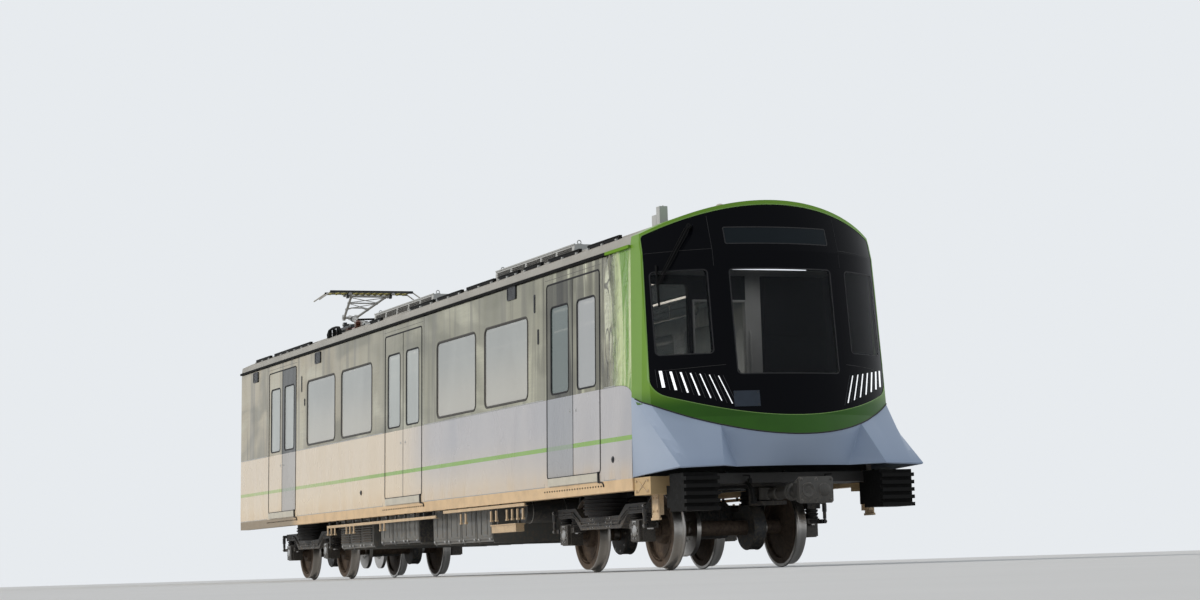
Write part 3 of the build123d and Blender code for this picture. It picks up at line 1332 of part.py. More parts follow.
def air_spring(x, side):
    """The folded rubber air spring between side beam and bolster."""
    y = side * SIDE_BEAM_Y
    top_z = BOLSTER_BOTTOM_Z - SEAT_GAP
    foot_z = SPRING_SEAT_Z + AIR_SPRING_FOOT
    neck_z = top_z - 30.0
    return fuse([
        upright_rod(x, y, SPRING_SEAT_Z, foot_z, AIR_SPRING_RADIUS - 40),
        upright_rod(x, y, foot_z, neck_z, AIR_SPRING_RADIUS),
        upright_rod(x, y, neck_z, top_z, AIR_SPRING_RADIUS - 60),
    ])


def drive_unit(axle_x, toward, gear_side):
    """A traction motor beside the axle, its bracket on the transom and the gearbox on the axle."""
    motor_x = axle_x + toward * GEAR_REACH
    bracket_x = motor_x + toward * (MOTOR_RADIUS + MOTOR_GAP - SEAT_GAP)
    x_low, x_high = min(axle_x, motor_x), max(axle_x, motor_x)
    shapes = [
        cross_rod(motor_x, -300, GEAR_LOW_Y, MOTOR_Z, MOTOR_RADIUS),
        box(min(bracket_x, motor_x), max(bracket_x, motor_x), -200, 150, MOTOR_Z - 40, MOTOR_Z + 40),
        cross_rod(axle_x, GEAR_LOW_Y, GEAR_HIGH_Y, AXLE_Z, 250),
        cross_rod(motor_x, GEAR_LOW_Y, GEAR_HIGH_Y, MOTOR_Z, 160),
        box(x_low, x_high, GEAR_LOW_Y, GEAR_HIGH_Y, AXLE_Z - 38, MOTOR_Z + 80),
    ]
    unit = fuse(shapes) - cross_rod(axle_x, GEAR_LOW_Y, GEAR_HIGH_Y, AXLE_Z, AXLE_RADIUS + JOURNAL_FIT)
    return unit if gear_side > 0 else left(unit)


CALLIPER_REACH = 170.0
CALLIPER_HALF_HEIGHT = 55.0
JAW_GAP = 8.0
JAW_THICKNESS = 20.0


def calliper(axle_x, toward, gear_side):
    """A fork from the transom that straddles the brake disc."""
    tip_x = axle_x + toward * CALLIPER_REACH
    bridge_x = axle_x + toward * (DISC_RADIUS + 30.0)
    root_x = axle_x + toward * (WHEELBASE / 2 - TRANSOM_OFFSET - TRANSOM_RADIUS - SEAT_GAP)
    disc_y = -gear_side * DISC_Y
    inner = DISC_THICKNESS / 2 + JAW_GAP
    outer = inner + JAW_THICKNESS
    z_low, z_high = TRANSOM_Z - CALLIPER_HALF_HEIGHT, TRANSOM_Z + CALLIPER_HALF_HEIGHT
    shapes = [box(
        min(bridge_x, root_x), max(bridge_x, root_x), disc_y - outer, disc_y + outer, z_low, z_high
    )]
    for jaw_low, jaw_high in ((-outer, -inner), (inner, outer)):
        shapes.append(box(
            min(tip_x, bridge_x), max(tip_x, bridge_x), disc_y + jaw_low, disc_y + jaw_high, z_low, z_high
        ))
    return fuse(shapes)


for end, centre in BOGIE_CENTRES_X.items():
    # axle, direction to the bogie's middle, side of the gearbox
    leading = (centre + WHEELBASE / 2, -1, 1)
    trailing = (centre - WHEELBASE / 2, 1, -1)
    save(f"bogie_frame_{end}", [bogie_frame(centre)])
    save(f"axle_boxes_{end}", [axle_box(axle[0], side) for axle in (leading, trailing) for side in (-1, 1)])
    save(f"air_springs_{end}", [air_spring(centre, side) for side in (-1, 1)])
    save(f"traction_motors_{end}", [drive_unit(*leading), drive_unit(*trailing)])
    save(f"brake_callipers_{end}", [calliper(*leading), calliper(*trailing)])
    save(f"wheelset_{end}_leading", [wheelset(leading[0], leading[2])])
    save(f"wheelset_{end}_trailing", [wheelset(trailing[0], trailing[2])])
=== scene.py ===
import math

import bmesh
import bpy
from mathutils import Matrix, Vector


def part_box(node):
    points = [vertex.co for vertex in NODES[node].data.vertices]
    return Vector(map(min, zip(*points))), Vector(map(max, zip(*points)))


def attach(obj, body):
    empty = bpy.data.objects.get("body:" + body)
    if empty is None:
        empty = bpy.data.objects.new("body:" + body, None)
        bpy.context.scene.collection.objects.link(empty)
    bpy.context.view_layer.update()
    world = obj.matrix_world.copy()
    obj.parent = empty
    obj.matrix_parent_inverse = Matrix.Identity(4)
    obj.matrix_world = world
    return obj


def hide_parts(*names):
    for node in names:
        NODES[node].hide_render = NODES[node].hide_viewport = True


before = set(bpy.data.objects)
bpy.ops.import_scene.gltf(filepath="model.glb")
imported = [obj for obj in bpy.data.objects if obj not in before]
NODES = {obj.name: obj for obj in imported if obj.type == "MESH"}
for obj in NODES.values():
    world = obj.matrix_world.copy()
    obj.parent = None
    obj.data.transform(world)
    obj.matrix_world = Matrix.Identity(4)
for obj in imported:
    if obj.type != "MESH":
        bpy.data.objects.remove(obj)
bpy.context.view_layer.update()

# The metro car's main places, in metres, as the solids have them.
BODY_REAR = -9.28
BODY_FRONT = 8.17
HALF_WIDTH = 1.47
WALL_LEAN = 0.026
DOOR_BOTTOM = 1.108
DOOR_TOP = 3.398
DOOR_WIDTH = 1.68
CANTRAIL = 3.56
FLOOR_TOP = 1.13
CEILING = 3.33
SILL_LOW = 0.878
SILL_TOP = 1.008
DOORS = (6.41, -0.07, -6.55)
WINDOWS = (4.13, 2.21, -2.35, -4.27)
BAND_TOP = 2.04
CORNER_FOOT = 1.86
STRIPE = 1.455
BOGIES = {"front": 6.23, "rear": -6.37}
HALF_WHEELBASE = 1.1
AXLE_HEIGHT = 0.458
SIDES = (-1, 1)

# The cab's face: an arc across the nose, raked, steeper above the knee and cut back under the chin
NOSE = 9.22
NOSE_RADIUS = 1.9361
FACE_EDGE = 1.42
FACE_EDGE_X = 8.60
FACE_LEVELS = (
    # height, shift of the face along X
    (0.718, 0.5938), (1.618, 0.0538), (3.41, -0.1595), (4.265, -0.4416),
)


def wall_y(z):
    """Half the body's width at a height."""
    return HALF_WIDTH - WALL_LEAN * max(0.0, z - DOOR_BOTTOM)


def roof_z(y):
    """Height of the roof's arch at a distance from the middle."""
    return 0.732 + math.sqrt(3.233 ** 2 - y ** 2)


def face_x(y, z):
    """The cab face's place along X."""
    if abs(y) <= FACE_EDGE:
        x = NOSE - NOSE_RADIUS + math.sqrt(NOSE_RADIUS ** 2 - y ** 2)
    else:
        x = FACE_EDGE_X - (abs(y) - FACE_EDGE) * 5.6
    for (low, low_shift), (high, high_shift) in zip(FACE_LEVELS, FACE_LEVELS[1:]):
        if z <= high:
            share = (z - low) / (high - low)
            return x + low_shift + share * (high_shift - low_shift)
    return x + FACE_LEVELS[-1][1]


def face_point(y, z, lift=0.0):
    """A point over the cab's face, and the direction out of it there."""
    step = 0.004
    across = Vector((face_x(y + step, z) - face_x(y - step, z), 2 * step, 0))
    upward = Vector((face_x(y, z + step) - face_x(y, z - step), 0, 2 * step))
    out = across.cross(upward).normalized()
    return Vector((face_x(y, z), y, z)) + out * lift, out


# Materials: every finish is built from nodes, in object coordinates, which are the car's own metres

def linear(colour):
    """A colour written as on screen, as the numbers that shaders take."""
    values = [int(colour[place:place + 2], 16) / 255 for place in (0, 2, 4)]
    return tuple(v / 12.92 if v <= 0.04045 else ((v + 0.055) / 1.055) ** 2.4 for v in values) + (1.0,)


def darker(colour, share):
    """A colour's numbers, dimmed."""
    return tuple(channel * share for channel in linear(colour)[:3]) + (1.0,)


MATERIALS = {}


class Finish:
    """One material and the nodes that it is built from."""

    def __init__(self, name, roughness=0.5, metallic=0.0, coat=0.0, **sockets):
        self.material = MATERIALS[name] = bpy.data.materials.new(name)
        self.material.use_nodes = True
        self.tree = self.material.node_tree
        self.shader = self.tree.nodes["Principled BSDF"]
        self.coords = self.add("ShaderNodeTexCoord").outputs["Object"]
        split = self.add("ShaderNodeSeparateXYZ", Vector=self.coords)
        self.x, self.y, self.z = split.outputs
        self.put("Roughness", roughness)
        self.put("Metallic", metallic)
        self.put("Coat Weight", coat)
        for socket, value in sockets.items():
            self.put(socket.replace("_", " "), value)

    def link(self, socket, value):
        """Feeds a socket from another one, or sets it to a number or a colour."""
        if isinstance(value, bpy.types.NodeSocket):
            self.tree.links.new(value, socket)
        else:
            socket.default_value = linear(value) if isinstance(value, str) else value

    def put(self, socket, value):
        self.link(self.shader.inputs[socket], value)

    def add(self, kind, settings=None, **sockets):
        node = self.tree.nodes.new(kind)
        for key, value in (settings or {}).items():
            setattr(node, key, value)
        for socket, value in sockets.items():
            self.link(node.inputs[socket.replace("_", " ")], value)
        return node

    def math(self, operation, first, second=0.0, clamp=False):
        node = self.add("ShaderNodeMath", {"operation": operation, "use_clamp": clamp})
        self.link(node.inputs[0], first)
        self.link(node.inputs[1], second)
        return node.outputs[0]

    def times(self, first, second, clamp=False):
        return self.math("MULTIPLY", first, second, clamp)

    def noise(self, scale, detail=4.0, roughness=0.55, stretch=(1, 1, 1), distortion=0.0):
        """Noise from 0 to 1, stretched along the axes whose number is small."""
        mapping = self.add("ShaderNodeMapping", Vector=self.coords, Scale=stretch)
        return self.add(
            "ShaderNodeTexNoise", Vector=mapping.outputs[0], Scale=scale, Detail=detail,
            Roughness=roughness, Distortion=distortion,
        ).outputs[0]

    def span(self, value, low, high, start=0.0, end=1.0):
        """A smooth step from start to end as value goes from low to high."""
        node = self.add("ShaderNodeMapRange", {"interpolation_type": "SMOOTHSTEP"}, Value=value)
        for place, number in enumerate((low, high, start, end), 1):
            self.link(node.inputs[place], number)
        return node.outputs[0]

    def mix(self, share, first, second):
        node = self.add("ShaderNodeMix", {"data_type": "RGBA"})
        self.link(node.inputs[0], share)
        self.link(node.inputs[6], first)
        self.link(node.inputs[7], second)
        return node.outputs[2]

    def over(self, shade, colour, share, strength):
        """A colour laid over a shade, as thick as share times strength."""
        return self.mix(self.times(share, strength), shade, colour)

    def mix_number(self, share, first, second):
        node = self.add("ShaderNodeMix", {"data_type": "FLOAT"})
        self.link(node.inputs[0], share)
        self.link(node.inputs[2], first)
        self.link(node.inputs[3], second)
        return node.outputs[0]

    def between(self, value, low, high, edge):
        """1 where value is between low and high, with soft edges."""
        rise = self.span(value, low - edge, low + edge)
        fall = self.span(value, high - edge, high + edge, 1.0, 0.0)
        return self.times(rise, fall)

    def waves(self, value, pitch):
        """A sine from -1 to 1 along a coordinate."""
        return self.math("SINE", self.times(value, pitch))

    def bump(self, height, distance, normal=None, strength=1.0):
        node = self.add("ShaderNodeBump", Strength=strength, Distance=distance, Height=height)
        if normal is not None:
            self.link(node.inputs["Normal"], normal)
        return node.outputs[0]

    def upward(self):
        """From 0 on walls to 1 on faces that look up."""
        geometry = self.add("ShaderNodeNewGeometry")
        split = self.add("ShaderNodeSeparateXYZ", Vector=geometry.outputs["Normal"])
        return self.span(split.outputs[2], 0.3, 0.9)

    def edges(self, radius):
        """Near 1 along sharp edges and 0 elsewhere."""
        rounded = self.add("ShaderNodeBevel", {"samples": 3}, Radius=radius)
        geometry = self.add("ShaderNodeNewGeometry")
        node = self.add("ShaderNodeVectorMath", {"operation": "DOT_PRODUCT"})
        self.link(node.inputs[0], rounded.outputs[0])
        self.link(node.inputs[1], geometry.outputs["Normal"])
        return self.span(node.outputs["Value"], 0.98, 0.85)


DUST = "8d8171"
WORN = "8b8680"


def paint(name, colour, roughness=0.4, metallic=0.0, coat=0.0, mottle=0.12, scale=3.0, grain=0.0004,
          grain_scale=220.0, dust=0.15, wear=0.0, **sockets):
    """Paint, plastic or cast metal: mottled colour, dust on what looks up, grime low down, worn edges."""
    finish = Finish(name, metallic=metallic, coat=coat, Coat_Roughness=0.08, **sockets)
    cloud = finish.noise(scale, 6.0)
    shade = finish.over(colour, darker(colour, 0.62), finish.span(cloud, 0.35, 0.75), mottle * 2)
    speck = finish.noise(scale * 9, 5.0, 0.7)
    lying = finish.times(finish.upward(), finish.span(speck, 0.3, 0.7, 0.35, 1.0))
    low = finish.times(finish.span(finish.z, 1.15, 0.35), finish.span(speck, 0.42, 0.7))
    cover = finish.times(finish.math("MAXIMUM", lying, low), dust * 2, clamp=True)
    shade = finish.mix(cover, shade, DUST)
    spread = min(0.12, 400 * grain)
    rough = finish.span(speck, 0.25, 0.8, max(0.05, roughness - spread), min(1.0, roughness + spread))
    rough = finish.mix_number(cover, rough, 0.85)
    if wear:
        edge = finish.times(finish.edges(0.006), finish.span(finish.noise(16, 5), 0.42, 0.6))
        edge = finish.times(edge, wear, clamp=True)
        shade = finish.mix(edge, shade, WORN)
        rough = finish.mix_number(edge, rough, 0.38)
    finish.put("Base Color", shade)
    finish.put("Roughness", rough)
    normal = finish.bump(finish.noise(grain_scale, 3.0), grain)
    finish.put("Normal", finish.bump(finish.noise(2.2, 2.0), 0.0012, normal, 0.6))
    return finish


def livery(name, tilt):
    """The side of the car: polished steel above, white band with a thin green stripe, green at the cab."""
    finish = Finish(name, Coat_Roughness=0.06)
    x, y, z = finish.x, finish.y, finish.z
    wave = finish.noise(0.9, 2.0, 0.5, (1.0, 1.0, 0.45), 0.6)
    rolled = finish.noise(1.9, 1.0, 0.4, (1.6, 1.0, 0.6), 0.8)
    brushed = finish.noise(60, 3.0, 0.6, (0.03, 1, 1))
    crumple = finish.noise(7.0, 2.0, 0.5, (1.5, 1.0, 0.7), 1.6)
    streak = finish.noise(2.2, 1.0, 0.4, (2.2, 1.0, 0.30), 1.0)
    swirl = finish.noise(2.0, 0.6, 0.4, (1.7, 1.0, 0.75), 1.6)
    cloud = finish.noise(0.75, 2.0, 0.5, (0.7, 1.0, 1.5), 0.8)
    bands = finish.noise(1.6, 2.0, 0.55, (3.0, 1.0, 0.16), 0.5)
    to_rear = finish.span(x, 1.0, -6.0)

    # Steel: warmer to the rear, a painted warm light; clouds, upright bands, dark and bright streaks and a
    # dark curl towards the cab are painted reflections
    steel = finish.mix(finish.span(wave, 0.3, 0.7), "898672", "a6a189")
    steel = finish.over(steel, "c6b595", to_rear, 0.7)
    steel = finish.mix(finish.span(cloud, 0.5, 0.68, 0.0, 0.6), steel, "66644f")
    steel = finish.mix(finish.span(cloud, 0.48, 0.34, 0.0, 0.55), steel, "d2cdb2")
    steel = finish.mix(finish.span(bands, 0.5, 0.66, 0.0, 0.5), steel, "6f6b5e")
    # The dark streaks here are painted reflections and the bright ones below are painted highlights
    smear = finish.times(finish.span(x, 3.9, 6.9), finish.span(streak, 0.46, 0.66))
    steel = finish.over(steel, "5c594a", smear, 0.8)
    lit = finish.times(finish.span(x, 5.0, 7.0), finish.span(streak, 0.44, 0.34))
    steel = finish.over(steel, "e7e5c6", lit, 0.8)
    curl = finish.times(finish.span(x, 7.28, 7.36), finish.between(swirl, 0.46, 0.50, 0.015))
    steel = finish.over(steel, "4a453d", curl, 0.85)
    steel = finish.over(steel, "857f74", finish.span(brushed, 0.3, 0.7), 0.18)

    # White band: painted warm light of the low sun behind, a painted warm reflection of the sunlit sill low
    # down, grime and more of that painted reflection at its foot, and the green stripe, paler to the rear in
    # that painted light
    white = finish.mix(finish.span(wave, 0.3, 0.7), "acadb3", "b9b8bb")
    white = finish.over(white, "dfd0b8", finish.span(x, 1.5, -0.6), 0.9)
    sill_reflection = finish.times(finish.span(z, 1.75, 1.0), finish.span(x, 8.0, 3.0, 0.25, 1.0))
    white = finish.over(white, "ead6b4", sill_reflection, 0.5)
    foot_grime_and_reflection = finish.times(finish.span(z, 1.3, 1.02), finish.span(rolled, 0.3, 0.7, 0.5, 1.0))
    white = finish.over(white, "d9bf99", foot_grime_and_reflection, 0.5)
    stripe = finish.between(z, STRIPE - 0.026, STRIPE + 0.026, 0.0015)
    stripe = finish.times(stripe, finish.span(x, 8.172, 8.168))
    white = finish.mix(stripe, white, finish.mix(to_rear, "84ae4d", "aec07c"))

    # The white band's rounded upper corner, an ellipse that ends at the front of the side wall
    along = finish.math("DIVIDE", finish.math("MAXIMUM", finish.math("SUBTRACT", x, 7.72), 0.0), 0.47)
    drop = finish.math("SUBTRACT", 1.0, finish.math("POWER", along, 2.6))
    corner = finish.math("POWER", finish.math("MAXIMUM", drop, 0.0), 0.385)
    top = finish.math("ADD", CORNER_FOOT, finish.times(corner, BAND_TOP - CORNER_FOOT))
    above = finish.span(finish.math("SUBTRACT", z, top), -0.002, 0.002)

    # Steel fades into the cab's green along a ragged edge; the green's pale streaks are painted highlights
    ragged = finish.math("ADD", x, finish.times(finish.math("SUBTRACT", crumple, 0.5), 0.26))
    fade = finish.span(ragged, 7.52, 7.92)
    green = finish.mix(finish.span(streak, 0.36, 0.56), "709c3a", "c9d8a0")
    shade = finish.mix(above, white, finish.mix(fade, steel, green))
    if tilt:
        # One leaf of the front and of the rear doorway is turned a little; it is painted darker as a painted
        # dark reflection, darkest on the rear leaf's steel
        rear_leaf = finish.between(x, DOORS[2], -5.60, 0.003)
        leaf = finish.math("ADD", finish.between(x, 5.50, DOORS[0], 0.003), rear_leaf)
        tall = finish.times(above, finish.span(bands, 0.35, 0.6, 0.35, 0.9))
        turned_leaf_reflection = finish.mix(above, "8f949b", "2a2821")
        shade = finish.over(shade, turned_leaf_reflection, leaf, finish.math("MAXIMUM", tall, 0.7))
        shade = finish.over(shade, "10191c", finish.times(rear_leaf, above), 0.75)

    # The walls' inner faces carry the plain lining of the room
    rise = finish.math("MAXIMUM", finish.math("SUBTRACT", z, DOOR_BOTTOM), 0.0)
    depth = finish.math("ADD", finish.math("ABSOLUTE", y), finish.times(rise, WALL_LEAN))
    outside = finish.span(depth, HALF_WIDTH - 0.034, HALF_WIDTH - 0.030)
    finish.put("Base Color", finish.mix(outside, "cfd0cc", shade))
    metal = finish.times(finish.times(above, finish.span(fade, 0.2, 1.0, 1.0, 0.0)), outside)
    finish.put("Metallic", metal)
    paint_rough = finish.span(rolled, 0.3, 0.7, 0.2, 0.32)
    steel_rough = finish.span(rolled, 0.3, 0.7, 0.14, 0.26)
    finish.put("Roughness", finish.mix_number(metal, paint_rough, steel_rough))

    height = finish.math("ADD", wave, finish.times(rolled, 0.15))
    height = finish.math("ADD", height, finish.times(x, tilt))
    wrinkle = finish.times(finish.times(crumple, finish.span(x, 7.2, 7.75)), above)
    normal = finish.bump(wrinkle, 0.03, finish.bump(height, 0.014))
    finish.put("Normal", finish.bump(finish.times(brushed, metal), 0.00006, normal))


def glass(name, colour, alpha, roughness, ripple, gloss=1.0, leaf_reflections=False, pale_foot_reflection=0.0):
    """Tinted glass: part of it is clear, and the rest is a glossy dark tint or a pale silvery colour; on the
    side and door panes the pale colour is a painted reflection.
    """
    finish = Finish(name, roughness=roughness, Alpha=alpha, Specular_IOR_Level=gloss, IOR=1.6)
    film = finish.noise(1.1, 3.0, 0.5, (1, 1, 0.6), 0.4)
    shade = finish.mix(finish.span(film, 0.3, 0.7), colour, darker(colour, 0.86))
    if leaf_reflections:
        # The front doorway's panes, as painted reflections: a pale one, and a dark one in the turned leaf
        doorway = finish.span(finish.x, 4.9, 5.6)
        shade = finish.mix(doorway, shade, "a9adaf")
        turned = finish.span(finish.x, DOORS[0] + 0.02, DOORS[0] - 0.02)
        shade = finish.over(shade, "4d5f5b", doorway, turned)
    # Paler and warmer towards the foot: a painted reflection
    shade = finish.mix(finish.span(finish.z, 2.95, 2.15, 0.0, pale_foot_reflection), shade, "d2cbbb")
    finish.put("Base Color", shade)
    smear = finish.noise(34, 5.0, 0.7)
    finish.put("Roughness", finish.span(smear, 0.35, 0.8, roughness, roughness + 0.05))
    finish.put("Normal", finish.bump(film, ripple))


def two_tone(name, axis, low, high, first, second, mottle=0.12, **settings):
    """A paint whose colour and grime change as one coordinate passes from low to high."""
    finish = paint(name, first, mottle=mottle, **settings)
    shade = finish.shader.inputs["Base Color"].links[0].from_socket
    value = {"x": finish.x, "z": finish.z, "y": finish.math("ABSOLUTE", finish.y)}[axis]
    grime = finish.span(finish.noise(5, 6), 0.35, 0.75, 0.0, min(0.7, 4 * mottle))
    mottled = finish.mix(grime, second, darker(second, 0.75))
    finish.put("Base Color", finish.mix(finish.span(value, low, high), shade, mottled))
    return finish


def wheel_finish(name, centre_x):
    """A wheelset: bright tread and discs, dull brown webs and axle, told apart by distance from the axle."""
    finish = Finish(name, metallic=0.9)
    ahead = finish.math("POWER", finish.math("SUBTRACT", finish.x, centre_x), 2.0)
    upward = finish.math("POWER", finish.math("SUBTRACT", finish.z, AXLE_HEIGHT), 2.0)
    radius = finish.math("SQRT", finish.math("ADD", ahead, upward))
    tread = finish.span(radius, 0.415, 0.424)
    disc = finish.between(finish.math("ABSOLUTE", finish.y), 0.42, 0.49, 0.002)
    bright = finish.math("MAXIMUM", tread, disc)
    speck = finish.noise(24, 6, 0.7)
    dull = finish.mix(finish.span(speck, 0.3, 0.7), "4f4238", "77685a")
    rings = finish.waves(radius, 1400.0)
    shiny = finish.mix(finish.span(rings, -1, 1, 0, 0.4), "b9b6b2", "8f8b86")
    finish.put("Base Color", finish.mix(bright, dull, shiny))
    finish.put("Metallic", finish.span(bright, 0, 1, 0.35, 1.0))
    finish.put("Roughness", finish.mix_number(bright, finish.span(speck, 0.3, 0.7, 0.6, 0.85), 0.28))
    finish.put("Normal", finish.bump(rings, 0.00005, finish.bump(speck, 0.0015)))


def fabric(name, colour, second):
    """Woven seat cloth with a fine check."""
    finish = Finish(name, roughness=0.9, Sheen_Weight=0.4, Sheen_Roughness=0.5)
    warp = finish.waves(finish.x, 2600.0)
    weave = finish.times(warp, finish.waves(finish.math("ADD", finish.y, finish.z), 2600.0))
    cloud = finish.noise(14, 5)
    shade = finish.over(colour, second, finish.span(finish.noise(90, 2), 0.45, 0.55), 0.6)
    finish.put("Base Color", finish.mix(finish.span(cloud, 0.4, 0.8, 0, 0.5), shade, darker(colour, 0.7)))
    finish.put("Normal", finish.bump(weave, 0.0006, finish.bump(cloud, 0.003)))


def glow(name, colour, strength):
    """A lit lens with fine ribs."""
    finish = Finish(name, roughness=0.2, coat=0.6, Emission_Strength=strength)
    ribs = finish.waves(finish.z, 420.0)
    groove = finish.span(ribs, -1, 1, 0, 0.25)
    finish.put("Base Color", finish.mix(groove, "e8edf0", "b9c1c6"))
    finish.put("Emission Color", finish.mix(groove, colour, "c9d4dc"))
    finish.put("Normal", finish.bump(ribs, 0.0005))
    finish.material.cycles.emission_sampling = "NONE"


livery("side_livery", 0.0)
livery("door_livery", 0.05)
# Side and door panes: pale grey and nearly opaque, a painted reflection of the sky, paler and warmer at the
# foot of the side panes
glass("side_glass", "a4a9a6", 0.90, 0.04, 0.004, pale_foot_reflection=0.45)
glass("door_glass", "b9c0bd", 0.84, 0.04, 0.004, leaf_reflections=True)
glass("screen_glass", "0c1014", 0.42, 0.02, 0.003, 0.12)
glass("partition_glass", "9fb0b6", 0.16, 0.05, 0.002, 0.5)
glow("lamp_lens", "ffffff", 0.8)
glow("cabin_light", "fff6e6", 3.0)
glow("cab_light", "f4f8ff", 3.0)
fabric("seat_fabric", "3f6f79", "58909a")
fabric("driver_fabric", "2b2e33", "3d4148")
for name, colour, settings in (
    # name, colour, what else the paint has
    ("mask_black", "08090e", dict(
        roughness=0.12, mottle=0.1, scale=2.0, grain=0.00002, dust=0.0, Specular_IOR_Level=0.05)),
    ("mask_edge", "739d45", dict(roughness=0.25, coat=0.4, mottle=0.1, scale=2.0, grain=0.00005, dust=0.0)),
    # skirt_paint: the white skirt is painted blue-grey, a painted cool skylight on its front
    ("skirt_paint", "9eadc3", dict(
        roughness=0.35, coat=0.05, mottle=0.05, scale=1.2, grain=0.00002, dust=0.0, Specular_IOR_Level=0.3)),
    ("roof_paint", "a9a7a0", dict(roughness=0.55, mottle=0.22, scale=1.6, dust=0.22)),
    ("gutter_dark", "101010", dict(roughness=0.65, mottle=0.15, dust=0.02, Specular_IOR_Level=0.15)),
    ("rubber", "17171a", dict(roughness=0.7, mottle=0.2, scale=8.0, grain=0.0005, dust=0.12)),
    ("frame_rubber", "43403c", dict(roughness=0.6, mottle=0.2, scale=8.0, grain=0.0003, dust=0.1)),
    ("rung_paint", "a8a058", dict(roughness=0.5, mottle=0.25, scale=9.0)),
    ("dark_trim", "25272b", dict(mottle=0.15, scale=6.0, dust=0.06)),
    ("display_screen", "20262a", dict(
        roughness=0.2, mottle=0.3, scale=1.2, grain=0.00002, dust=0.0, Specular_IOR_Level=0.05)),
    ("step_paint", "cfcabb", dict(roughness=0.5, mottle=0.2, scale=7.0, dust=0.2, wear=0.6)),
    ("underframe_paint", "201f1e", dict(roughness=0.62, mottle=0.25, scale=4.0, grain=0.0008, dust=0.35)),
    ("equipment_paint", "3f4143", dict(roughness=0.5, mottle=0.2, dust=0.3, wear=0.7)),
    ("case_paint", "6d6e6c", dict(roughness=0.5, mottle=0.2, grain=0.0003, dust=0.3, wear=0.7)),
    ("bogie_paint", "36383b", dict(
        roughness=0.58, mottle=0.25, scale=5.0, grain=0.0009, dust=0.42, wear=0.8)),
    ("cast_steel", "4a4947", dict(
        roughness=0.5, metallic=0.5, mottle=0.3, scale=9.0, grain=0.001, grain_scale=120.0, dust=0.25,
        wear=1.0)),
    ("bright_steel", "b5b3b0", dict(
        roughness=0.25, metallic=1.0, mottle=0.15, scale=9.0, grain=0.0001, dust=0.1)),
    ("aluminium_tube", "b9b9b6", dict(roughness=0.36, metallic=0.8, mottle=0.15, scale=9.0, dust=0.12)),
    ("panto_dark", "35383a", dict(roughness=0.45, metallic=0.3, mottle=0.2, scale=9.0, wear=0.6)),
    ("carbon_strip", "1b1c1d", dict(roughness=0.35, metallic=0.4, mottle=0.25, scale=20.0, dust=0.0)),
    ("insulator_brown", "6b3a2a", dict(roughness=0.22, coat=0.5, mottle=0.1, scale=9.0, dust=0.1)),
    ("roof_unit_paint", "bdbfbd", dict(roughness=0.45, mottle=0.18, scale=2.0, dust=0.18, wear=0.3)),
    ("lining_panel", "d8d9d6", dict(mottle=0.07, grain=0.0002, dust=0.02)),
    ("seat_shell", "4d545a", dict(roughness=0.45, mottle=0.1, scale=5.0, dust=0.03)),
    ("pole_steel", "c4c3c0", dict(
        roughness=0.22, metallic=1.0, mottle=0.08, scale=9.0, grain=0.00005, dust=0.0)),
    ("desk_plastic", "33373b", dict(roughness=0.55, mottle=0.1, scale=6.0, grain=0.0006, dust=0.04)),
    ("desk_screen", "16303c", dict(roughness=0.12, coat=0.5, mottle=0.1, grain=0.00004, dust=0.0)),
    ("warning_yellow", "d8a21c", dict(scale=8.0)),
    ("tray_paint", "d8bd98", dict(roughness=0.5, mottle=0.25, scale=9.0, dust=0.25, wear=0.6)),
    ("bare_plate", "343c47", dict(
        roughness=0.35, mottle=0.25, scale=6.0, grain=0.0001, dust=0.0, Specular_IOR_Level=0.2)),
    # cab_lining: the cab's pale lining made dark grey so the cab looks dark through the screen, partly
    # painted shade
    ("cab_lining", "2a2c30", dict(
        roughness=0.6, mottle=0.15, scale=4.0, grain=0.00002, dust=0.0, Specular_IOR_Level=0.2)),
    ("bellows_cloth", "232427", dict(roughness=0.75, mottle=0.25, scale=6.0, grain_scale=500.0, dust=0.2)),
    ("seam_grey", "55534f", dict(roughness=0.5, mottle=0.15, scale=8.0, dust=0.1)),
    ("end_wall_paint", "c6c8ca", dict(coat=0.2, scale=2.0, dust=0.12)),
):
    paint(name, colour, **settings)
# gutter_paint: near-black behind the cab, the rail's dark colour deepened as painted shade under the roof's
# edge; green at the cab
two_tone(
    "gutter_paint", "x", 7.46, 7.50, "0b0b0a", "6f9a30", roughness=0.7, mottle=0.1, dust=0.0,
    Specular_IOR_Level=0.1)
# green_paint: a deeper green low down, painted shade on the cab's lip that faces down
two_tone(
    "green_paint", "z", 1.98, 1.72, "6f9a30", "2a5a06", roughness=0.35, coat=0.05, mottle=0.1, scale=1.4,
    grain=0.00002, dust=0.0, Specular_IOR_Level=0.2)
two_tone("panto_head", "y", 0.705, 0.71, "2f3234", "d5d0c6", roughness=0.4, mottle=0.2, scale=9.0, dust=0.1)
# sill_paint: pale peach on the outer face, a pale paint warmed as painted sunlight; dark on the inner faces;
# greyer and darker to the rear
sill = two_tone(
    "sill_paint", "y", 1.325, 1.329, "201f1e", "e4c59b", roughness=0.5, mottle=0.2, scale=4.0, dust=0.2)
sill_shade = sill.shader.inputs["Base Color"].links[0].from_socket
sill.put("Base Color", sill.mix(sill.span(sill.x, -5.4, -6.1, 0.0, 0.8), sill_shade, "80786a"))
two_tone(
    "post_paint", "y", 1.170, 1.174, "201f1e", "cdb083", roughness=0.55, mottle=0.3, scale=7.0, dust=0.2)
two_tone(
    "floor_covering", "z", 1.122, 1.126, "2c2b2a", "6f7479", roughness=0.6, mottle=0.15, scale=12.0,
    dust=0.0)
for end, centre in BOGIES.items():
    wheel_finish(f"wheel_{end}_leading", centre + HALF_WHEELBASE)
    wheel_finish(f"wheel_{end}_trailing", centre - HALF_WHEELBASE)

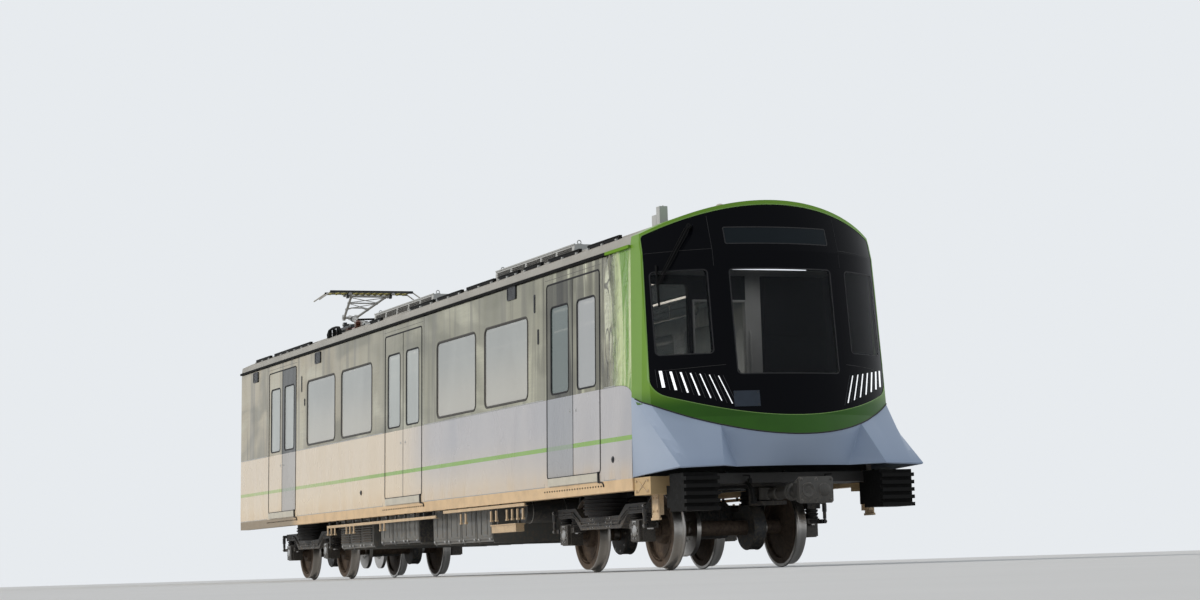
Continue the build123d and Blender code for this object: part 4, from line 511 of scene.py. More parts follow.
NODE_FINISHES = {
    "side_walls": "side_livery", "door_leaves": "door_livery", "side_windows": "side_glass",
    "door_windows": "door_glass", "door_steps": "step_paint", "roof_shell": "roof_paint",
    "roof_gutters": "gutter_paint", "cab_shell": "green_paint", "front_mask": "mask_black",
    "windscreens": "screen_glass", "destination_display": "display_screen", "lamp_strips": "lamp_lens",
    "front_skirt": "skirt_paint", "underframe": "sill_paint", "cab_underframe": "post_paint",
    "anti_climbers": "gutter_dark", "floor_panel": "floor_covering", "rear_end_wall": "end_wall_paint",
    "gangway_bellows": "rubber", "cab_bulkhead": "lining_panel", "saloon_seats": "seat_shell",
    "grab_poles": "pole_steel", "ceiling_lining": "lining_panel", "driver_desk": "desk_plastic",
    "driver_seat": "driver_fabric", "air_conditioners": "roof_unit_paint",
    "antenna_boxes": "roof_unit_paint",
    "pantograph_base": "panto_dark", "pantograph_lower_arm": "aluminium_tube",
    "pantograph_upper_arm": "aluminium_tube", "pantograph_head": "panto_head",
    "windscreen_wiper": "gutter_dark", "coupler_front": "cast_steel", "drawbar_rear": "cast_steel",
    "draw_gear_pockets": "underframe_paint", "traction_inverter": "case_paint",
    "battery_case": "equipment_paint", "brake_resistor": "case_paint", "air_tanks": "equipment_paint",
}
for end in BOGIES:
    NODE_FINISHES.update({
        f"bogie_frame_{end}": "bogie_paint", f"axle_boxes_{end}": "cast_steel",
        f"air_springs_{end}": "rubber",
        f"traction_motors_{end}": "equipment_paint", f"brake_callipers_{end}": "cast_steel",
        f"wheelset_{end}_leading": f"wheel_{end}_leading",
        f"wheelset_{end}_trailing": f"wheel_{end}_trailing",
    })
for name, node in NODES.items():
    finish = MATERIALS[NODE_FINISHES[name]]
    if node.data.materials:
        for slot in node.material_slots:
            slot.material = finish
    else:
        node.data.materials.append(finish)


# Mesh pieces: a Shape gathers simple solids and becomes one object

# The slot that a piece's finish stands for, where it isn't the finish's own name
SLOT_OF = {
    "mask_edge": "green_paint", "tray_paint": "sill_paint", "step_paint": "roof_unit_paint",
    "case_paint": "equipment_paint", "cab_lining": "lining_panel", "partition_glass": "screen_glass",
    "cab_light": "lamp_lens", "cabin_light": "lamp_lens", "desk_screen": "display_screen",
    "warning_yellow": "desk_plastic", "driver_fabric": "seat_fabric", "bellows_cloth": "bellows_rubber",
    "cast_steel": "coupler_steel", "bright_steel": "coupler_steel", "rubber": "dark_trim",
    "frame_rubber": "dark_trim", "seam_grey": "dark_trim", "gutter_dark": "dark_trim",
    "insulator_brown": "dark_trim", "panto_dark": "dark_trim", "carbon_strip": "dark_trim",
    "rung_paint": "dark_trim", "bare_plate": "dark_trim",
}


UP = (0, 0, 1)
DOWN = (0, 0, -1)
AHEAD = (1, 0, 0)
ACROSS = (0, 1, 0)


def about(middle, half):
    """The two ends of a span about its middle."""
    return (middle - half, middle + half)


def square_to(along):
    """A direction square to another one."""
    return along.cross(Vector(UP) if abs(along.z) < 0.9 else Vector(AHEAD)).normalized()


def partway(start, end, share):
    """The point at a share of the way between two points."""
    return tuple(a + (b - a) * share for a, b in zip(start, end))


def circle(centre, axis, radius, count, start=0.0, squash=1.0):
    """Points on a circle square to one of the car's axes; squash shortens it along the second other axis."""
    first, second = [place for place in range(3) if not axis[place]]
    points = []
    for step in range(count):
        turn = 2 * math.pi * (step + start) / count
        point = list(centre)
        point[first] += radius * math.cos(turn)
        point[second] += radius * squash * math.sin(turn)
        points.append(point)
    return points


class Shape:
    def __init__(self):
        self.vertices, self.faces = [], []

    def add(self, vertices, faces):
        base = len(self.vertices)
        self.vertices += [tuple(vertex) for vertex in vertices]
        self.faces += [tuple(base + place for place in face) for face in faces]
        return self

    def loops(self, loops, closed=False, caps=True):
        """Skins a row of point loops of the same length; closed joins the last loop to the first."""
        count = len(loops[0])
        faces = []
        rows = len(loops) if closed else len(loops) - 1
        for row in range(rows):
            this, after = row * count, (row + 1) % len(loops) * count
            for place in range(count):
                beside = (place + 1) % count
                faces.append((this + place, this + beside, after + beside, after + place))
        if caps and not closed:
            faces.append(tuple(reversed(range(count))))
            faces.append(tuple(range((len(loops) - 1) * count, len(loops) * count)))
        return self.add([point for loop in loops for point in loop], faces)

    def box(self, x, y, z):
        """A block between pairs of coordinates."""
        (x0, x1), (y0, y1), (z0, z1) = sorted(x), sorted(y), sorted(z)
        low = [(x0, y0, z0), (x1, y0, z0), (x1, y1, z0), (x0, y1, z0)]
        high = [(x0, y0, z1), (x1, y0, z1), (x1, y1, z1), (x0, y1, z1)]
        return self.loops([low, high])

    def wall_box(self, x, z, out):
        """A block that follows the leaning left wall; out is a pair of distances from its outer face."""
        loops = []
        for height in z:
            low, high = (wall_y(height) + distance for distance in out)
            loops.append([(x[0], low, height), (x[1], low, height), (x[1], high, height),
                (x[0], high, height)])
        return self.loops(loops)

    def mirror(self):
        """Adds the other side's copy of all that the shape holds."""
        return self.add([(x, -y, z) for x, y, z in self.vertices], self.faces)

    def tube(self, points, radius, sides=10):
        """A round bar through a row of points."""
        points = [Vector(point) for point in points]
        turns = [2 * math.pi * step / sides for step in range(sides)]
        loops = []
        normal = None
        for place, point in enumerate(points):
            before = points[max(0, place - 1)]
            after = points[min(len(points) - 1, place + 1)]
            along = (after - before).normalized()
            if normal is None:
                normal = square_to(along)
            normal = (normal - along * normal.dot(along)).normalized()
            other = along.cross(normal)
            size = radius
            if 0 < place < len(points) - 1:
                bend = (after - point).normalized().dot((point - before).normalized())
                size = radius / max(0.5, math.sqrt((1 + bend) / 2))
            spokes = [normal * math.cos(turn) + other * math.sin(turn) for turn in turns]
            loops.append([point + spoke * size for spoke in spokes])
        return self.loops(loops)

    def lathe(self, start, along, profile, sides=20, closed=False):
        """A solid turned about a line: profile is a row of (distance along, radius), closed for a ring."""
        start, along = Vector(start), Vector(along).normalized()
        normal = square_to(along)
        other = along.cross(normal)
        turns = [2 * math.pi * step / sides for step in range(sides)]
        spokes = [normal * math.cos(turn) + other * math.sin(turn) for turn in turns]
        return self.loops([
            [start + along * distance + spoke * radius for spoke in spokes] for distance, radius in profile
        ], closed=closed)

    def hoop(self, centre, along, radius, thick, sides=24, section=6):
        """A round bar bent into a circle about a line."""
        profile = []
        for step in range(section):
            turn = 2 * math.pi * step / section
            profile.append((thick * math.cos(turn), radius + thick * math.sin(turn)))
        return self.lathe(centre, along, profile, sides, closed=True)

    def bolt(self, place, out, radius=0.011):
        """A hexagon head on a washer, facing out."""
        self.lathe(place, out, ((-0.003, radius * 1.4), (radius * 0.25, radius * 1.4)), 12)
        return self.lathe(place, out, ((0, radius), (radius * 0.8, radius), (radius, radius * 0.8)), 6)

    def bolt_circle(self, centre, out, radius, count, size, start=0.0, squash=1.0):
        """Bolts on a circle, facing out."""
        for place in circle(centre, out, radius, count, start, squash):
            self.bolt(place, out, size)

    def frame_ring(self, outline, place, section):
        """A closed ring: outline(grow) put by place(point, lift), for each (grow, lift) of its section."""
        loops = [[place(point, lift) for point in outline(grow)] for grow, lift in section]
        return self.loops(loops, closed=True)

    def done(self, name, finish, bevel=0.0, smooth=40.0, plate=None, body="car_body", slot=None):
        """Makes the piece; plate is (thickness, outward) for an open surface that becomes a plate."""
        mesh = bpy.data.meshes.new(name)
        mesh.from_pydata(self.vertices, [], self.faces)
        build = bmesh.new()
        build.from_mesh(mesh)
        if plate:
            bmesh.ops.remove_doubles(build, verts=build.verts, dist=0.0005)
            bmesh.ops.dissolve_degenerate(build, edges=build.edges, dist=0.0001)
        bmesh.ops.recalc_face_normals(build, faces=build.faces)
        if plate:
            outward = Vector(plate[1])
            if sum(face.normal.dot(outward) * face.calc_area() for face in build.faces) < 0:
                bmesh.ops.reverse_faces(build, faces=build.faces)
        build.to_mesh(mesh)
        build.free()
        mesh.validate()
        piece = bpy.data.objects.new(name, mesh)
        bpy.context.collection.objects.link(piece)
        bpy.context.view_layer.objects.active = piece
        piece.select_set(True)
        bpy.ops.object.shade_smooth_by_angle(angle=math.radians(smooth))
        piece.select_set(False)
        mesh.materials.append(MATERIALS[finish])
        if plate:
            modifier = piece.modifiers.new("thickness", "SOLIDIFY")
            modifier.thickness = plate[0]
            modifier.offset = -1.0
        if bevel:
            modifier = piece.modifiers.new("edge", "BEVEL")
            modifier.width = bevel
            modifier.segments = 2
            modifier.limit_method = "ANGLE"
            modifier.angle_limit = math.radians(25 if plate else 50)
        slot = slot or SLOT_OF.get(finish, finish)
        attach(piece, body)
        return piece

    def both(self, name, *settings):
        """Makes the piece on the left side and its mirror image on the right."""
        self.done(f"{name}_left", *settings)
        self.vertices = [(x, -y, z) for x, y, z in self.vertices]
        self.done(f"{name}_right", *settings)


def rounded(x, z, width, height, radius, steps=6):
    """An outline maker: a rounded rectangle of (x, z) points that can grow, z being its low edge."""
    def outline(grow):
        half, top, low = width / 2 + grow, z + height + grow, z - grow
        corner = max(0.002, radius + grow)
        points = []
        for centre_x, centre_z, start in (
            (x + half - corner, top - corner, 0), (x - half + corner, top - corner, 90),
            (x - half + corner, low + corner, 180), (x + half - corner, low + corner, 270),
        ):
            for step in range(steps + 1):
                turn = math.radians(start + 90 * step / steps)
                points.append((centre_x + corner * math.cos(turn), centre_z + corner * math.sin(turn)))
        return points
    return outline


def on_wall(point, lift):
    """Puts an (x, z) point on the left side wall, lifted off its outer face."""
    return (point[0], wall_y(point[1]) + lift, point[1])


# Camera at floor level, looking up at the car from ahead and to its right
CAMERA_PLACE = Vector((33.87, -12.20, 0.05))
CAMERA_YAW = math.radians(157.939)
CAMERA_PITCH = math.radians(5.965)
CAMERA_ROLL = math.radians(-1.762)
CAMERA_LENS = 76.95

forward = Vector((
    math.cos(CAMERA_PITCH) * math.cos(CAMERA_YAW), math.cos(CAMERA_PITCH) * math.sin(CAMERA_YAW),
    math.sin(CAMERA_PITCH),
))
level_right = forward.cross(Vector((0, 0, 1))).normalized()
level_up = level_right.cross(forward)
right = level_right * math.cos(CAMERA_ROLL) + level_up * math.sin(CAMERA_ROLL)
up = level_up * math.cos(CAMERA_ROLL) - level_right * math.sin(CAMERA_ROLL)
camera_data = bpy.data.cameras.new("camera")
camera_data.lens = CAMERA_LENS
camera_data.sensor_width = 36.0
camera_data.clip_end = 500.0
camera = bpy.data.objects.new("camera", camera_data)
camera.matrix_world = Matrix.Translation(CAMERA_PLACE) @ Matrix((right, up, -forward)).transposed().to_4x4()
bpy.context.collection.objects.link(camera)
bpy.context.scene.camera = camera
bpy.context.scene.view_settings.view_transform = "Standard"

# Light: a warm soft sun on the right side, a weaker cool one on the left, and a pale room
for name, strength, softness, colour, turn in (
    # name, strength, width in degrees, colour, rotation in degrees
    ("key_light", 1.9, 14.0, (1.0, 0.93, 0.84), (58, 0, -28)),
    ("fill_light", 0.18, 40.0, (0.88, 0.94, 1.0), (52, 0, 75)),
    ("far_light", 0.60, 40.0, (0.92, 0.96, 1.0), (55, 0, 172)),
):
    light = bpy.data.lights.new(name, "SUN")
    light.energy = strength
    light.angle = math.radians(softness)
    light.color = colour
    lamp = bpy.data.objects.new(name, light)
    lamp.rotation_euler = [math.radians(angle) for angle in turn]
    lamp.visible_glossy = False
    bpy.context.collection.objects.link(lamp)

world = bpy.data.worlds.new("room")
bpy.context.scene.world = world
world.use_nodes = True
tree = world.node_tree
tree.nodes.clear()
output = tree.nodes.new("ShaderNodeOutputWorld")
blend = tree.nodes.new("ShaderNodeMixShader")
room = tree.nodes.new("ShaderNodeBackground")
seen = tree.nodes.new("ShaderNodeBackground")
path = tree.nodes.new("ShaderNodeLightPath")
ray = path.outputs["Is Camera Ray"]
for kind in ("Is Glossy Ray", "Is Transmission Ray"):
    either = tree.nodes.new("ShaderNodeMath")
    either.operation = "MAXIMUM"
    tree.links.new(ray, either.inputs[0])
    tree.links.new(path.outputs[kind], either.inputs[1])
    ray = either.outputs[0]
room.inputs["Color"].default_value = (0.86, 0.92, 1.0, 1.0)
room.inputs["Strength"].default_value = 0.38
seen.inputs["Color"].default_value = (0.80, 0.83, 0.86, 1.0)
tree.links.new(ray, blend.inputs[0])
tree.links.new(room.outputs[0], blend.inputs[1])
tree.links.new(seen.outputs[0], blend.inputs[2])
tree.links.new(blend.outputs[0], output.inputs[0])

floor_finish = Finish("studio_floor", roughness=0.9)
floor_finish.put("Base Color", floor_finish.mix(floor_finish.noise(0.6, 4), "cfcfce", "d8d8d7"))
floor_mesh = bpy.data.meshes.new("studio_floor")
floor_mesh.from_pydata([(-150, -150, 0), (150, -150, 0), (150, 150, 0), (-150, 150, 0)], [], [(0, 1, 2, 3)])
floor = bpy.data.objects.new("studio_floor", floor_mesh)
floor_mesh.materials.append(floor_finish.material)
bpy.context.collection.objects.link(floor)


# Sides: rubber round the glass and the doorways, status lamps, handles, seams
GLASS_LIP = 0.016
STATUS_LAMPS = ((4.36, 3.45), (-4.44, 3.42), (-8.29, 3.42))
SLOTS = ((5.16, 3.12, 3.34), (5.28, 2.73, 2.91), (-5.38, 2.96, 3.21), (-5.20, 2.73, 2.84))
FILLER_CAPS = ((7.622, 1.238), (-2.08, 1.243))
BELT_SPANS = ((-9.26, -7.50), (-5.60, -1.02), (0.88, 5.46), (7.36, 7.70))
SEAM_OFFSET = 0.945
TREAD = (1.4705, 1.4895)
ROOF_RAILS = (
    (-8.85, -7.90), (-7.64, -5.40), (-2.15, -1.60), (-0.21, 0.83), (1.00, 2.02), (2.22, 3.29), (3.48, 4.20),
    (4.42, 5.01), (5.26, 6.27), (6.54, 7.50),
)
SILL_RAILS = ((-3.96, 1.30, 0.775), (1.62, 4.72, 0.825))
FINGERS = ((-3.93, 3), (-2.93, 3), (-1.22, 2), (2.33, 2), (3.50, 2), (4.08, 4))
AC_PLACES = (3.17, -2.40)


def ac_side(z):
    """Half the width of an air conditioner at a height."""
    return 0.72 - 0.06 * (z - CANTRAIL) / 0.48


seals = Shape()
for x in WINDOWS:
    seals.frame_ring(rounded(x, 2.10, 1.57, 1.00, 0.09), on_wall, (
        (0.014, -0.004), (0.014, 0.003), (0.008, 0.006), (-0.006, 0.006), (-GLASS_LIP, -0.002),
        (-GLASS_LIP, -0.009),
    ))
seals.both("window_rubbers", "frame_rubber")

leaf_seals, edges = Shape(), Shape()
for x in DOORS:
    for middle in about(x, 0.423):
        leaf_seals.frame_ring(rounded(middle, 2.093, 0.57, 1.03, 0.06), on_wall, (
            (0.010, -0.004), (0.010, 0.002), (0.006, 0.004), (-0.004, 0.004), (-0.012, -0.002),
            (-0.012, -0.009),
        ))
    edges.frame_ring(rounded(x, DOOR_BOTTOM, DOOR_WIDTH, DOOR_TOP - DOOR_BOTTOM, 0.05), on_wall, (
        (0.010, -0.02), (0.010, 0.003), (0.004, 0.006), (-0.004, 0.006), (-0.010, 0.003), (-0.010, -0.02),
    ))
    edges.wall_box(about(x, 0.0065), (DOOR_BOTTOM + 0.01, DOOR_TOP - 0.01), (-0.043, 0.002))
leaf_seals.both("leaf_rubbers", "rubber")
edges.both("doorway_seals", "rubber")

lamps, slots, caps = Shape(), Shape(), Shape()
for x, z in STATUS_LAMPS:
    lamps.frame_ring(rounded(x, z - 0.085, 0.30, 0.17, 0.02), on_wall, (
        (0.003, -0.003), (0.003, 0.012), (-0.004, 0.015), (-0.014, 0.013), (-0.014, -0.003),
    ))
    lamps.wall_box(about(x, 0.138), about(z, 0.073), (-0.003, 0.005))
    for row in range(6):
        low = z - 0.066 + 0.023 * row
        lamps.wall_box(about(x, 0.128), (low, low + 0.010), (0.004, 0.011))
lamps.both("status_lamps", "dark_trim", 0.0015)
for x, low, high in SLOTS:
    slots.frame_ring(rounded(x, low, 0.040, high - low, 0.018), on_wall, (
        (0.003, -0.003), (0.003, 0.004), (-0.004, 0.005), (-0.004, -0.003),
    ))
    slots.wall_box(about(x, 0.017), (low + 0.004, high - 0.004), (-0.003, 0.0015))
    slots.wall_box(about(x, 0.005), (low + 0.03, high - 0.03), (0.001, 0.006))
slots.both("release_slots", "dark_trim")
for x, z in FILLER_CAPS:
    middle = (x, wall_y(z), z)
    caps.lathe(middle, ACROSS, ((-0.003, 0.037), (0.004, 0.037), (0.008, 0.033), (0.008, 0.026)), 28)
    caps.lathe(middle, ACROSS, ((0.006, 0.022), (0.014, 0.020), (0.015, 0.016)), 24)
    caps.wall_box(about(x, 0.016), about(z, 0.003), (0.013, 0.018))
caps.both("filler_caps", "dark_trim", 0.001)

belt, seams = Shape(), Shape()
for start, end in BELT_SPANS:
    belt.wall_box((start, end), (BAND_TOP + 0.002, BAND_TOP + 0.012), (-0.002, 0.003))
    belt.wall_box((start, end), (SILL_TOP + 0.004, SILL_TOP + 0.012), (-0.002, 0.003))
belt.both("belt_mouldings", "aluminium_tube", 0.001)
for x in DOORS:
    for seam_x in about(x, SEAM_OFFSET):
        seams.wall_box(about(seam_x, 0.0025), (1.012, 3.52), (-0.002, 0.0012))
    seams.wall_box(about(x, 0.89), (DOOR_TOP + 0.055, DOOR_TOP + 0.060), (-0.002, 0.0012))
seams.both("panel_seams", "seam_grey")

# Door steps' treads and the leaves' locks
treads, locks = Shape(), Shape()
for x in DOORS:
    treads.box(about(x, 0.785), TREAD, (1.1085, 1.116))
    for rib in range(3):
        ridge = 1.475 + 0.005 * rib
        treads.box(about(x, 0.78), (ridge, ridge + 0.002), (1.115, 1.118))
    treads.box((x + 0.781, x + 0.806), (1.462, 1.486), (0.995, 1.122))
    treads.tube((
        (x + 0.795, 1.478, 1.03), (x + 0.82, 1.480, 1.005), (x + 0.905, 1.480, 0.998),
        (x + 0.93, 1.480, 0.975), (x + 0.932, 1.476, 0.945),
    ), 0.007, 8)
    for step in range(24):
        treads.bolt((x - 0.93 + 0.081 * step, 1.47, 0.957), ACROSS, 0.008)
    for leaf in (-0.10, 0.10):
        middle = (x + leaf, wall_y(1.86) - 0.002, 1.86)
        locks.lathe(middle, ACROSS, ((-0.002, 0.019), (0.003, 0.019), (0.005, 0.015), (0.005, 0.008)), 20)
        locks.lathe(middle, ACROSS, ((0.004, 0.006), (0.008, 0.005)), 10)
treads.both("step_treads", "rubber")
locks.both("leaf_locks", "aluminium_tube")

# Ducts along the roof's edge, near-black: their own dark colour and painted shade along the edge
rails, feet = Shape(), Shape()
for start, end in ROOF_RAILS:
    rails.box((start, end), (1.220, 1.262), (3.700, 3.762))
    rails.box((start + 0.02, end - 0.02), (1.214, 1.268), (3.748, 3.756))
    count = max(2, round((end - start) / 0.45) + 1)
    for step in range(count):
        x = start + 0.05 + (end - start - 0.10) * step / (count - 1)
        feet.box(about(x, 0.020), (1.20, 1.285), (3.680, 3.722))
        feet.bolt((x, 1.285, 3.708), ACROSS, 0.006)
rails.both("roof_edge_ducts", "gutter_dark", 0.004)
feet.both("roof_duct_feet", "roof_unit_paint", 0.003)

# Cable trays and brackets under the sole bars
trays, hangers = Shape(), Shape()
for start, end, z in SILL_RAILS:
    trays.box((start, end), (1.438, 1.456), (z, z + 0.038))
    trays.box((start, end), (1.405, 1.440), (z, z + 0.006))
    for step in range(int((end - start) / 0.42) + 1):
        x = start + 0.06 + 0.42 * step
        hangers.box(about(x, 0.012), (1.41, 1.437), (z + 0.004, SILL_LOW + 0.002))
for start, count in FINGERS:
    for step in range(count):
        x = start + 0.19 * step
        trays.box(about(x, 0.018), (1.440, 1.458), (0.685, 0.80))
        trays.box(about(x, 0.026), (1.430, 1.462), (0.665, 0.688))
for x in (3.46, 4.21):
    hangers.box(about(x, 0.02), (1.34, 1.352), (0.60, SILL_LOW + 0.002))
trays.box((3.39, 4.28), (1.30, 1.41), (0.525, 0.622))
trays.box((3.37, 4.30), (1.29, 1.42), (0.612, 0.628))
trays.both("sill_trays", "tray_paint", 0.002)
hangers.both("sill_hangers", "equipment_paint", 0.001)

# Roof: air conditioners' grilles and fans, beads, ducts and small equipment
louvres, lids, fans, guards = Shape(), Shape(), Shape(), Shape()
for unit_x in AC_PLACES:
    for side in SIDES:
        for group in range(5):
            start = unit_x - 1.36 + 0.56 * group
            for row in range(5):
                z = 3.905 + 0.023 * row
                y = ac_side(z)
                slat = (
                    (y - 0.004, z), (y + 0.013, z - 0.002), (y + 0.015, z + 0.003), (y - 0.004, z + 0.016))
                louvres.loops([[(x, side * out, rise) for out, rise in slat] for x in (start, start + 0.48)])
        lid_edge = ((0.655, 4.040), (0.668, 4.028), (0.672, 4.046), (0.650, 4.050))
        lids.loops([[(x, side * y, z) for y, z in lid_edge] for x in about(unit_x, 1.45)])
    for seam in range(-2, 3):
        x = unit_x + 0.58 * seam
        lids.box(about(x, 0.010), about(0, 0.65), (4.039, 4.047))
        for y in (-0.6, -0.2, 0.2, 0.6):
            lids.bolt((x, y, 4.047), UP, 0.009)
    for x in about(unit_x, 1.40):
        for y in (-0.58, 0.58):
            lids.hoop((x, y, 4.070), AHEAD, 0.024, 0.007, 16)
            lids.box(about(x, 0.03), about(y, 0.03), (4.039, 4.050))
    for x in (unit_x - 0.87, unit_x - 0.29, unit_x + 0.29, unit_x + 0.87):
        fans.lathe((x, 0, 4.038), UP, ((0, 0.245), (0.005, 0.245)), 40)
        fans.lathe((x, 0, 4.040), UP, ((0, 0.055), (0.020, 0.055), (0.026, 0.040)), 20)
        for blade in range(7):
            turn = 2 * math.pi * blade / 7
            ahead = turn + 0.5
            fans.loops([
                [(x + r * math.cos(a), r * math.sin(a), z)
                 for a, z in ((turn, 4.044), (ahead, 4.056), (ahead, 4.059), (turn, 4.047))]
                for r in (0.05, 0.23)
            ])
        for ring in range(5):
            guards.hoop((x, 0, 4.066), UP, 0.262 - 0.046 * ring, 0.0035, 36, 5)
        guards.lathe((x, 0, 4.038), UP, (
            (0, 0.252), (0.026, 0.252), (0.028, 0.268), (0, 0.274)), 40, closed=True)
        for spoke in range(8):
            turn = 2 * math.pi * spoke / 8
            ends = [(x + r * math.cos(turn), r * math.sin(turn), 4.063) for r in (0.06, 0.264)]
            guards.tube(ends, 0.0035, 6)
louvres.done("roof_unit_louvres", "seam_grey", slot="roof_unit_paint")
lids.done("roof_unit_lids", "roof_unit_paint", 0.0015)
fans.done("roof_unit_fans", "gutter_dark")
guards.done("roof_fan_guards", "aluminium_tube")

beads = Shape()
for y in (0.82, 1.02, 1.16):
    beads.tube([(x, y, roof_z(y)) for x in (BODY_REAR + 0.03, BODY_FRONT - 0.06)], 0.007, 6)
for y in (0.22, 0.45):
    for start, end in ((-9.22, -7.0), (-5.75, -3.95), (-0.85, 1.62), (4.72, 7.22)):
        beads.tube([(x, y, roof_z(y)) for x in (start, end)], 0.007, 6)
beads.mirror()
for x in (-8.4, -5.3, -4.2, -0.5, 1.3, 5.0, 6.9):
    beads.tube([(x, y / 10, roof_z(y / 10) + 0.001) for y in range(-13, 14)], 0.005, 6)
beads.done("roof_beads", "roof_paint")

ducts = Shape()
for start, end, y in ((-5.0, -3.95, 0.30), (-0.90, 1.66, -0.36), (4.70, 7.25, 0.36), (-5.4, 7.3, 0.92)):
    ducts.box((start, end), about(y, 0.055), (roof_z(abs(y)) - 0.02, roof_z(abs(y)) + 0.048))
    for step in range(int((end - start) / 0.6) + 1):
        x = min(start + 0.05 + 0.6 * step, end - 0.03)
        ducts.box(about(x, 0.015), about(y, 0.085), (roof_z(abs(y)) - 0.02, roof_z(abs(y)) + 0.054))
ducts.done("roof_cable_ducts", "roof_unit_paint", 0.004)

aerials = Shape()
aerials.lathe((7.50, 0, 4.058), UP, (
    (0, 0.11), (0.010, 0.11), (0.030, 0.085), (0.075, 0.04), (0.085, 0.02)), 32)
for x in (7.34, 7.66):
    for y in (-0.13, 0.13):
        aerials.bolt((x, y, 4.060), UP, 0.010)
for x, y in ((7.10, -0.55), (7.10, 0.55), (0.35, 0.0)):
    base = roof_z(abs(y))
    aerials.lathe((x, y, base - 0.004), UP, (
        (0, 0.075), (0.012, 0.075), (0.018, 0.060), (0.060, 0.045), (0.075, 0.025)), 28)
for x, z in ((7.89, 3.930), (7.96, 3.930), (8.01, 4.012), (8.07, 4.012)):
    aerials.bolt((x, -0.96, z), UP, 0.008)
aerials.done("roof_aerials", "step_paint", 0.002)
housings = Shape()
housings.box((7.86, 7.99), (-1.01, -0.91), (3.78, 3.93))
housings.box((7.99, 8.09), (-1.01, -0.91), (3.78, 4.012))
housings.box((7.30, 7.70), about(0, 0.16), (3.94, 4.058))
housings.box((7.28, 7.72), about(0, 0.18), (3.93, 3.972))
housing_piece = housings.done("antenna_housings", "roof_unit_paint", 0.006)
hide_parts("antenna_boxes")

# Pantograph: sheds and feet of its insulators, links, braces, contact strips, rungs and horns
PANTO_X = -6.31
PIVOT_Z = 4.12
INSULATOR_Y = 0.42
CYLINDER_Y = 0.24
CYLINDER_Z = 4.10
sheds, base_trim = Shape(), Shape()
for x in (-5.97, -6.79):
    for y in about(0, INSULATOR_Y):
        for shed in range(4):
            sheds.lathe((x, y, 3.953 + 0.024 * shed), UP, (
                (0, 0.054), (0.002, 0.088), (0.006, 0.091), (0.016, 0.062), (0.016, 0.054)), 28)
        base_trim.box(about(x, 0.10), about(y, 0.09), (3.915, 3.946))
        for dx in (-0.08, 0.08):
            for dy in (-0.07, 0.07):
                base_trim.bolt((x + dx, y + dy, 3.946), UP, 0.009)
        base_trim.lathe((x, y, 4.084), UP, ((0, 0.030), (0.012, 0.030), (0.016, 0.02)), 6)
sheds.done("base_insulator_sheds", "insulator_brown")
# Raising cylinders with their bellows
for y in about(0, CYLINDER_Y):
    base_trim.lathe((-5.99, y, CYLINDER_Z), (-1, 0, 0.04), (
        (0, 0.030), (0.02, 0.048), (0.03, 0.052), (0.20, 0.052), (0.21, 0.046), (0.215, 0.016),
        (0.30, 0.016)), 20)
    for ring in range(4):
        base_trim.hoop(
            (-6.03 - 0.042 * ring, y, CYLINDER_Z + 0.0015 + 0.0017 * ring), AHEAD, 0.053, 0.005, 20)
    base_trim.box((-6.335, -6.275), about(y, 0.014), (4.07, 4.16))
for y in about(0, INSULATOR_Y):
    for x in about(PANTO_X, 0.09):
        base_trim.bolt((x, y, 4.085), UP, 0.010)
    base_trim.bolt((PANTO_X, y + math.copysign(0.024, y), PIVOT_Z), (0, y, 0), 0.018)
base_trim.done("pantograph_base_fittings", "aluminium_tube", 0.002)

ARM_TURN = math.radians(12.0)
ARM_LENGTH = 1.15
APEX_Z = PIVOT_Z + 2 * ARM_LENGTH * math.sin(ARM_TURN)
KNEE_HALF = 0.105
APEX_HALF = 0.30


def on_arm(distance, rise=0.0, y=0.0):
    """A point beside the lower arm: distance from the pivot, rise square to the arm."""
    along = Vector((-math.cos(ARM_TURN), 0, math.sin(ARM_TURN)))
    square = Vector((math.sin(ARM_TURN), 0, math.cos(ARM_TURN)))
    return Vector((PANTO_X, y, PIVOT_Z)) + along * distance + square * rise


def on_upper(share, side=0.0, rise=0.0):
    """A point on the upper arm, from the knee to the apex, towards one of its tubes."""
    point = on_arm(ARM_LENGTH).lerp(Vector((PANTO_X, 0, APEX_Z)), share)
    return point + Vector((0, side * (KNEE_HALF + share * (APEX_HALF - KNEE_HALF)), rise))


link = Shape()
arm_line = on_arm(1.0) - on_arm(0.0)
for distance in (0.16, 0.52, 0.92):
    link.lathe(on_arm(distance), arm_line, ((0, 0.044), (0.004, 0.050), (0.030, 0.050), (0.034, 0.044)), 24)
for distance in (0.20, 0.96):
    link.tube([on_arm(distance, 0.0, 0.035), on_arm(distance, 0.0, 0.070)], 0.012, 10)
link.tube([on_arm(0.17, 0.0, 0.064), on_arm(0.98, 0.0, 0.064)], 0.008, 12)
link.tube([on_arm(0.05, 0.02, 0.095), on_arm(0.14, 0.055, 0.085), on_arm(0.25, 0.02, 0.052)], 0.010, 8)
for y in (-0.095, 0.095):
    link.bolt((PANTO_X, y - math.copysign(0.005, y), PIVOT_Z), (0, y, 0), 0.026)
link.done("lower_arm_fittings", "panto_dark", 0.001, body="pantograph_lower_arm")

